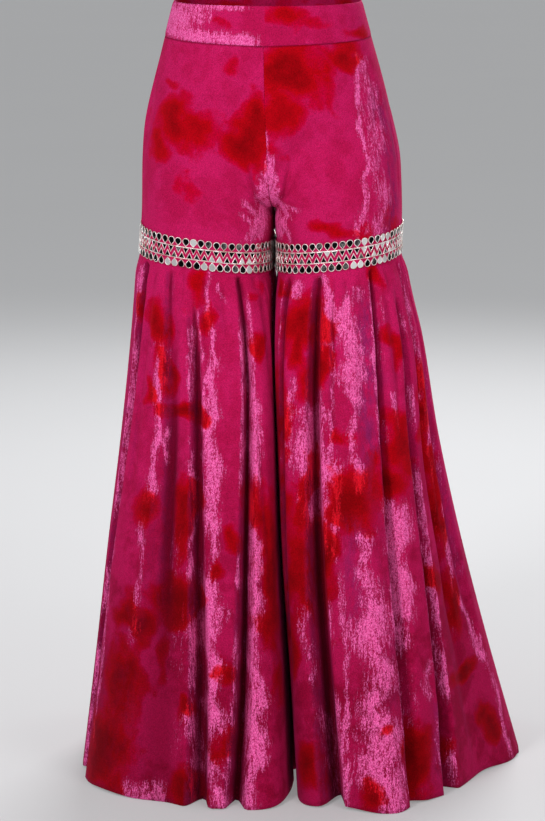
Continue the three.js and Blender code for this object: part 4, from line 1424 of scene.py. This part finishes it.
def plate(outline):
    """Points and quads of a mirror's flat face and its short wall."""
    edge = inset(outline, OUTLINE_HALF * MIRROR_EDGE)
    count = len(edge)
    top, foot = 2 * count, 2 * count + 1
    rings = [edge, edge, edge.mean(axis=0)[None], edge.mean(axis=0)[None]]
    heights = [TRIM_BASE + MIRROR_STAND, TRIM_BASE - MIRROR_SUNK] * 2
    points = [np.concatenate([ring, np.full((len(ring), 1), h)], 1) for ring, h in zip(rings, heights)]
    faces = []
    for k in range(count):
        j = (k + 1) % count
        faces += [[k, j, top], [k, count + k, j], [j, count + k, count + j], [count + j, count + k, foot]]
    return np.concatenate(points), np.array(faces)


class Batch:
    """Copies of small pieces, gathered into one mesh."""

    def __init__(self):
        self.points, self.faces, self.values, self.count = [], [], [], 0

    def add(self, grid, faces, values=0.0):
        """Add copies: a grid of points for each, the faces of the first one, and a value for each."""
        copies, size = grid.shape[:2]
        shift = self.count + np.arange(copies) * size
        self.points.append(grid.reshape(-1, 3))
        self.faces.append((faces[None] + shift[:, None, None]).reshape(-1, faces.shape[1]))
        self.values.append(np.repeat(np.broadcast_to(values, copies), size))
        self.count += copies * size

    def mesh(self, name, material, attribute=None, smooth_faces=True):
        values = {attribute: np.concatenate(self.values)} if attribute else {}
        points, faces = np.concatenate(self.points), np.concatenate(self.faces)
        return make_mesh(name, points, faces, material, values, smooth_faces)


def painted_reflection_of(side, number, places, draw):
    """How light each mirror's painted reflection is: most are dark, a few light, and some flash white in
    groups.
    """
    painted_reflection = np.where(draw.random(len(places)) < WHITE_REFLECTION_SHARE, WHITE_REFLECTION, draw.choice(PAINTED_REFLECTIONS, len(places)))
    for flash in WHITE_REFLECTION_FLASHES[side]:
        if flash["row"] == number:
            painted_reflection = np.where(np.abs(places - flash["at"]) < flash["reach"], 1.0, painted_reflection)
    return painted_reflection


def mirror_work(side, seed):
    """All the mirrors of one leg as one mesh, and their outlines as another."""
    draw = np.random.default_rng(seed)
    around = sum(ring_lengths(side))
    mirrors, outlines = Batch(), Batch()
    for number, row in enumerate(MIRROR_ROWS):
        count, tall = row["count"], row["tall"]
        pitch = around / count
        shape = drop_outline if row["shape"] == "drop" else triangle_outline
        outline = shape(pitch * TIGHT, tall) * [1, row["point"]]
        if row["point"] < 0:
            outline = outline[::-1]
        shifts = draw.uniform(-PLACE_SHIFT, PLACE_SHIFT, count)
        along = (np.arange(count) + 0.5 + row["shift"] + shifts) * pitch
        up = row["foot"] + tall / 2 + draw.uniform(-HEIGHT_SHIFT, HEIGHT_SHIFT, count)
        frames = frames_on_trim(side, along, up)

        points, quads = tube_loop(outline)
        outlines.add(spread(points[None] * draw.uniform(*OUTLINE_SIZES, (count, 1, 1)), frames), quads)

        points, triangles = plate(outline)
        lean = draw.normal(0, TILT, (count, 2)) * TILT_SHARE
        tilted = np.repeat(points[None], count, 0)
        tilted[..., 2] += tilted[..., 0] * lean[:, :1] + tilted[..., 1] * lean[:, 1:]
        # Each mirror gets a painted reflection, light or dark
        mirrors.add(spread(tilted, frames), triangles, painted_reflection_of(side, number, along / around, draw))
    return (
        mirrors.mesh(f"mirrors_{side}", mirror, "painted_reflection", smooth_faces=False),
        outlines.mesh(f"outlines_{side}", silver),
    )


def silver_lines(side):
    """Thin couched silver lines round the leg, as one mesh."""
    lines = Batch()
    along = np.linspace(0, sum(ring_lengths(side)), LINE_STEPS, endpoint=False)
    for up in LINE_HEIGHTS:
        rings = []
        for high_up, out in LINE:
            rings.append(on_trim(side, along, up + high_up, TRIM_BASE + OUTLINE_STAND * out * LINE_STAND))
        lines.add(np.concatenate(rings)[None], loop_quads(len(LINE), LINE_STEPS))
    return lines.mesh(f"silver_lines_{side}", silver)


def ribbon(side):
    """The velvet ribbon that carries the mirrors, scalloped along both of its edges."""
    around = sum(ring_lengths(side))
    along = np.linspace(0, around, RIBBON_COLUMNS, endpoint=False)
    along = np.broadcast_to(along, (RIBBON_ROWS, RIBBON_COLUMNS))
    t = np.linspace(1, 0, RIBBON_ROWS)[:, None]
    scallops = []
    for row in (MIRROR_ROWS[0], MIRROR_ROWS[-1]):
        phase = along / around * row["count"] - row["shift"]
        scallops.append(SCALLOP * np.abs(np.cos(math.pi * phase)) ** SCALLOP_SHARPNESS)
    foot_edge, top_edge = RIBBON_EDGES
    up = lerp(foot_edge + scallops[0], TRIM_HEIGHT - top_edge - scallops[1], t)
    outer = on_trim(side, along, up, TRIM_BASE)
    inner = on_trim(side, along, up, 0)
    first, second = RIBBON_DYE_LENGTHS
    dye = RIBBON_DYE * smooth(*RIBBON_DYE_EDGE, np.sin(along / first) * np.sin(along / second + 1))
    plain = 0 * along
    attributes = {"dye": (dye, dye), "painted_sheen": (plain, plain), "turn": (plain, plain), "painted_shade": (plain, plain)}
    return shell(f"ribbon_{side}", outer, inner, SIDES[side] > 0, velvet, attributes, ring=True)


for seed, side in enumerate(SIDES):
    pieces[f"trim_{side}"] = ribbon(side)
    for piece in (*mirror_work(side, 40 + seed), silver_lines(side)):
        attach(piece, "root")
        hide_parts(f"trim_{side}")

# What each piece rides on, and the model part that it replaces, which is hidden
for node, piece in pieces.items():
    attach(piece, "root")
    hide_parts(node)

# Camera, floor and lights

camera_data = bpy.data.cameras.new("camera")
camera_data.sensor_width = 36
camera_data.lens = CAMERA_LENS
camera = bpy.data.objects.new("camera", camera_data)
bpy.context.scene.collection.objects.link(camera)
flat = math.cos(CAMERA_ELEVATION)
back = Vector((
    math.sin(CAMERA_AZIMUTH) * flat, -math.cos(CAMERA_AZIMUTH) * flat, math.sin(CAMERA_ELEVATION)
))
camera.location = CAMERA_TARGET + back * CAMERA_DISTANCE
camera.rotation_euler = (-back).to_track_quat("-Z", "Y").to_euler()
bpy.context.scene.camera = camera

# A floor wide enough to fill every view, with a faint glow that matches it to the sky at its rim
FLOOR_RADIUS = 45.0
FLOOR_DROP = 0.0005


def floor():
    ring = bmesh.new()
    bmesh.ops.create_circle(ring, cap_ends=True, segments=96, radius=FLOOR_RADIUS)
    mesh = bpy.data.meshes.new("floor")
    ring.to_mesh(mesh)
    ring.free()
    piece = bpy.data.objects.new("floor", mesh)
    piece.location.z = HEM_Z * MM - FLOOR_DROP
    bpy.context.scene.collection.objects.link(piece)
    piece.data.materials.append(floor_material())


floor()

# Soft lights: place and size in metres, power in watts, the point that each is aimed at, and its spread
LIGHTS = table(
    "name place size power aim spread",
    ("key", (-1.7, -3.4, 1.3), (0.9, 1.5), 17, (0, 0, 0), 72),
    ("fill", (2.4, -3.0, 0.6), (1.6, 2.0), 24, (0, 0, -0.2), 120),
    ("left_edge", (-2.6, 1.4, 0.6), (0.8, 2.2), 14, (0, 0, -0.5), 180),
    ("right_edge", (2.6, 1.4, 0.6), (0.8, 2.2), 12, (0, 0, -0.5), 180),
    ("behind", (0.6, 3.6, 1.6), (2.0, 1.6), 60, (0, 0, -0.4), 110),
)
for row in LIGHTS:
    data = bpy.data.lights.new(row["name"], "AREA")
    data.shape = "RECTANGLE"
    data.size, data.size_y = row["size"]
    data.energy = row["power"]
    data.spread = math.radians(row["spread"])
    light = bpy.data.objects.new(row["name"], data)
    light.location = row["place"]
    towards = Vector(row["aim"]) - Vector(row["place"])
    light.rotation_euler = towards.to_track_quat("-Z", "Y").to_euler()
    bpy.context.scene.collection.objects.link(light)

world = bpy.data.worlds.new("studio")
world.use_nodes = True
sky = world.node_tree.nodes["Background"]
sky.inputs["Color"].default_value = (0.86, 0.87, 0.88, 1)
sky.inputs["Strength"].default_value = 0.42
bpy.context.scene.world = world
bpy.context.scene.view_settings.view_transform = "Standard"

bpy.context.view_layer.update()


def plain(box):
    return [[float(v) for v in corner] for corner in box]
